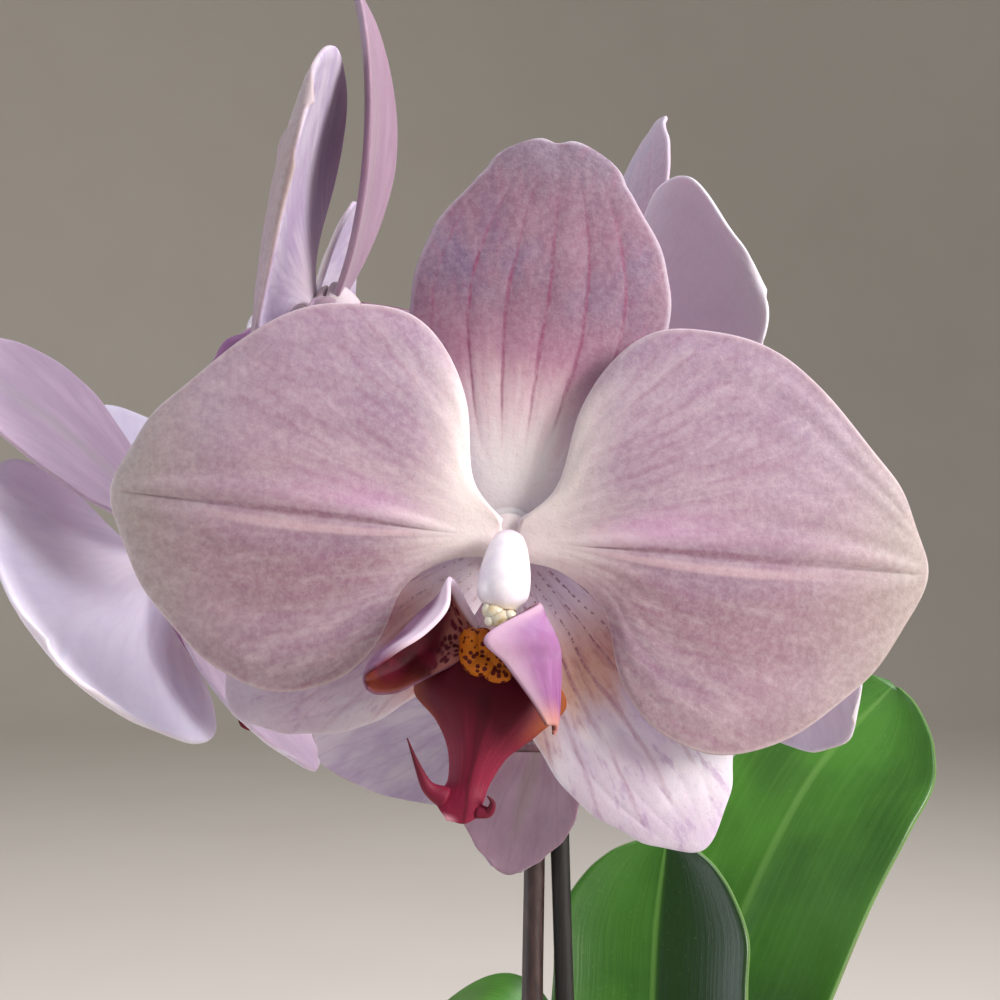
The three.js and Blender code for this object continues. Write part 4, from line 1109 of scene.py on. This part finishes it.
def heap():
    """Chips laid in a spiral from the middle out, but not through the crown, the roots or the stake."""
    draw = random.Random(11)
    inner = -POT["wall"] - 1
    reach = pot_wall(BARK["top"]) - POT["wall"] - 7.5
    stems = [(CROWN["x"], CROWN["y"], CROWN_ROOM), (*STAKE_IN_BARK, ROOT_ROOM)]
    stems += [(*path[-2][:2], ROOT_ROOM) for path in ROOTS]
    shapes = []
    for k in range(BARK["chips"]):
        distance, angle = reach * math.sqrt((k + 0.5) / BARK["chips"]), k * GOLDEN_ANGLE
        size = draw.uniform(0.55, 1.0)
        width = BARK["width"] * draw.uniform(0.6, 1.0) * size ** 0.5
        made = chip(BARK["length"] * size, width, BARK["height"], draw)
        x, y = distance * math.cos(angle), distance * math.sin(angle)
        if any(math.hypot(x - a, y - b) < r for a, b, r in stems):
            continue
        shapes.append({**made, "points": made["points"] + [x, y, BARK["top"] - 1.6 + draw.uniform(-1.6, 1.3)]})
    base = [(0.5, POT["floor"] + GAP), (pot_wall(POT["floor"]) + inner, POT["floor"] + GAP),
            (pot_wall(BARK["top"]) + inner, BARK["top"] - 4), (0.5, BARK["top"] - 2.5)]
    return together(shapes + [turned(base, 64, tone=0.0)])


def bark_material():
    paint = Paint("bark_chips")
    tone, = paint.marks("tone")
    grain = paint.noise(paint.spot((0.5, 1.6, 1.6)), 0.9, 5.0, 0.65)
    crack = paint.cells(paint.spot(), 0.55, "DISTANCE_TO_EDGE")
    colour = paint.layers(
        paint.mix(grain.rise(0.3, 0.7), "#3a2417", "#7a5236"),
        (tone * 0.55, "#96704c"),
        (tone.rise(0.8, 0.95) * 0.5, "#4a1f12"),
        (crack.rise(0.08, 0.0) * 0.6, "#1d120c"),
    )
    normal = paint.bump(grain, 0.5, 0.8, paint.bump(crack.least(0.15), 0.9, 0.5))
    return paint.done(colour, 0.78 + grain * 0.2, normal)


piece("fine_bark", heap(), bark_material(), "bark", "bark")


# %% [markdown]
# The plant stands on a plain pale floor that curves up behind it. A strong soft light at the right stands in for a
# window, a weak one at the left for the room, and a third hangs above. Each shines only within a cone, so that the
# plant is well lit and the backdrop behind it stays dim.

# %% Floor and backdrop
def floor_material():
    paint = Paint("studio_paper")
    colour = paint.mix(paint.noise(paint.spot(), 0.01, 2.0), "#d2cbc1", "#d8d2c9")
    return paint.done(colour, 0.85)


def backdrop():
    bend, far, tall, half = 0.5, 1.6, 2.2, 3.0
    section = [(-3.0, 0.0), (far - bend, 0.0)]
    section += [(far - bend + bend * math.sin(a), bend - bend * math.cos(a)) for a in np.linspace(0.1, 1.5, 12)]
    section.append((far, tall))
    mesh = bpy.data.meshes.new("studio_floor")
    points = [(x, y, z) for y, z in section for x in (-half, half)]
    mesh.from_pydata(points, [], [(2 * i, 2 * i + 1, 2 * i + 3, 2 * i + 2) for i in range(len(section) - 1)])
    mesh.polygons.foreach_set("use_smooth", [True] * len(mesh.polygons))
    mesh.materials.append(floor_material())
    made = bpy.data.objects.new("studio_floor", mesh)
    bpy.context.scene.collection.objects.link(made)


backdrop()


# %% Lights
LIGHT_CONE = math.radians(90)


def soft_light(name, at, towards, size, watts, colour):
    data = bpy.data.lights.new(name, "AREA")
    data.shape, data.size, data.energy, data.color = "DISK", size, watts, tint(colour)[:3]
    data.spread = LIGHT_CONE
    made = bpy.data.objects.new(name, data)
    made.location = at
    made.rotation_euler = (Vector(towards) - Vector(at)).to_track_quat("-Z", "Y").to_euler()
    bpy.context.scene.collection.objects.link(made)


middle = (0.0, -0.03, 0.18)
soft_light("window", (1.0, -0.56, 0.62), middle, 0.6, 5.3, "#fffaf4")
soft_light("room", (-1.1, 0.0, 0.35), middle, 0.9, 2.0, "#eef2ff")
soft_light("above", (0.35, 0.12, 1.2), middle, 0.8, 2.9, "#f4f4ff")
world = bpy.data.worlds.new("studio")
world.use_nodes = True
world.node_tree.nodes["Background"].inputs["Color"].default_value = tint("#e8e6e4")
world.node_tree.nodes["Background"].inputs["Strength"].default_value = 0.4
bpy.context.scene.world = world
bpy.context.scene.view_settings.view_transform = "Standard"


# %% [markdown]
# The camera stands level with the front bloom and looks straight ahead. Its lens gives the photograph's viewing angle.

# %% Camera
CAMERA = {"at": (-8, -187, 203), "lens": 52.63}
data = bpy.data.cameras.new("camera")
data.lens, data.sensor_width = CAMERA["lens"], 36
data.clip_start = 0.01
camera = bpy.data.objects.new("camera", data)
camera.location = Vector(CAMERA["at"]) * MM
camera.rotation_euler = (math.pi / 2, 0, 0)
bpy.context.scene.collection.objects.link(camera)
bpy.context.scene.camera = camera
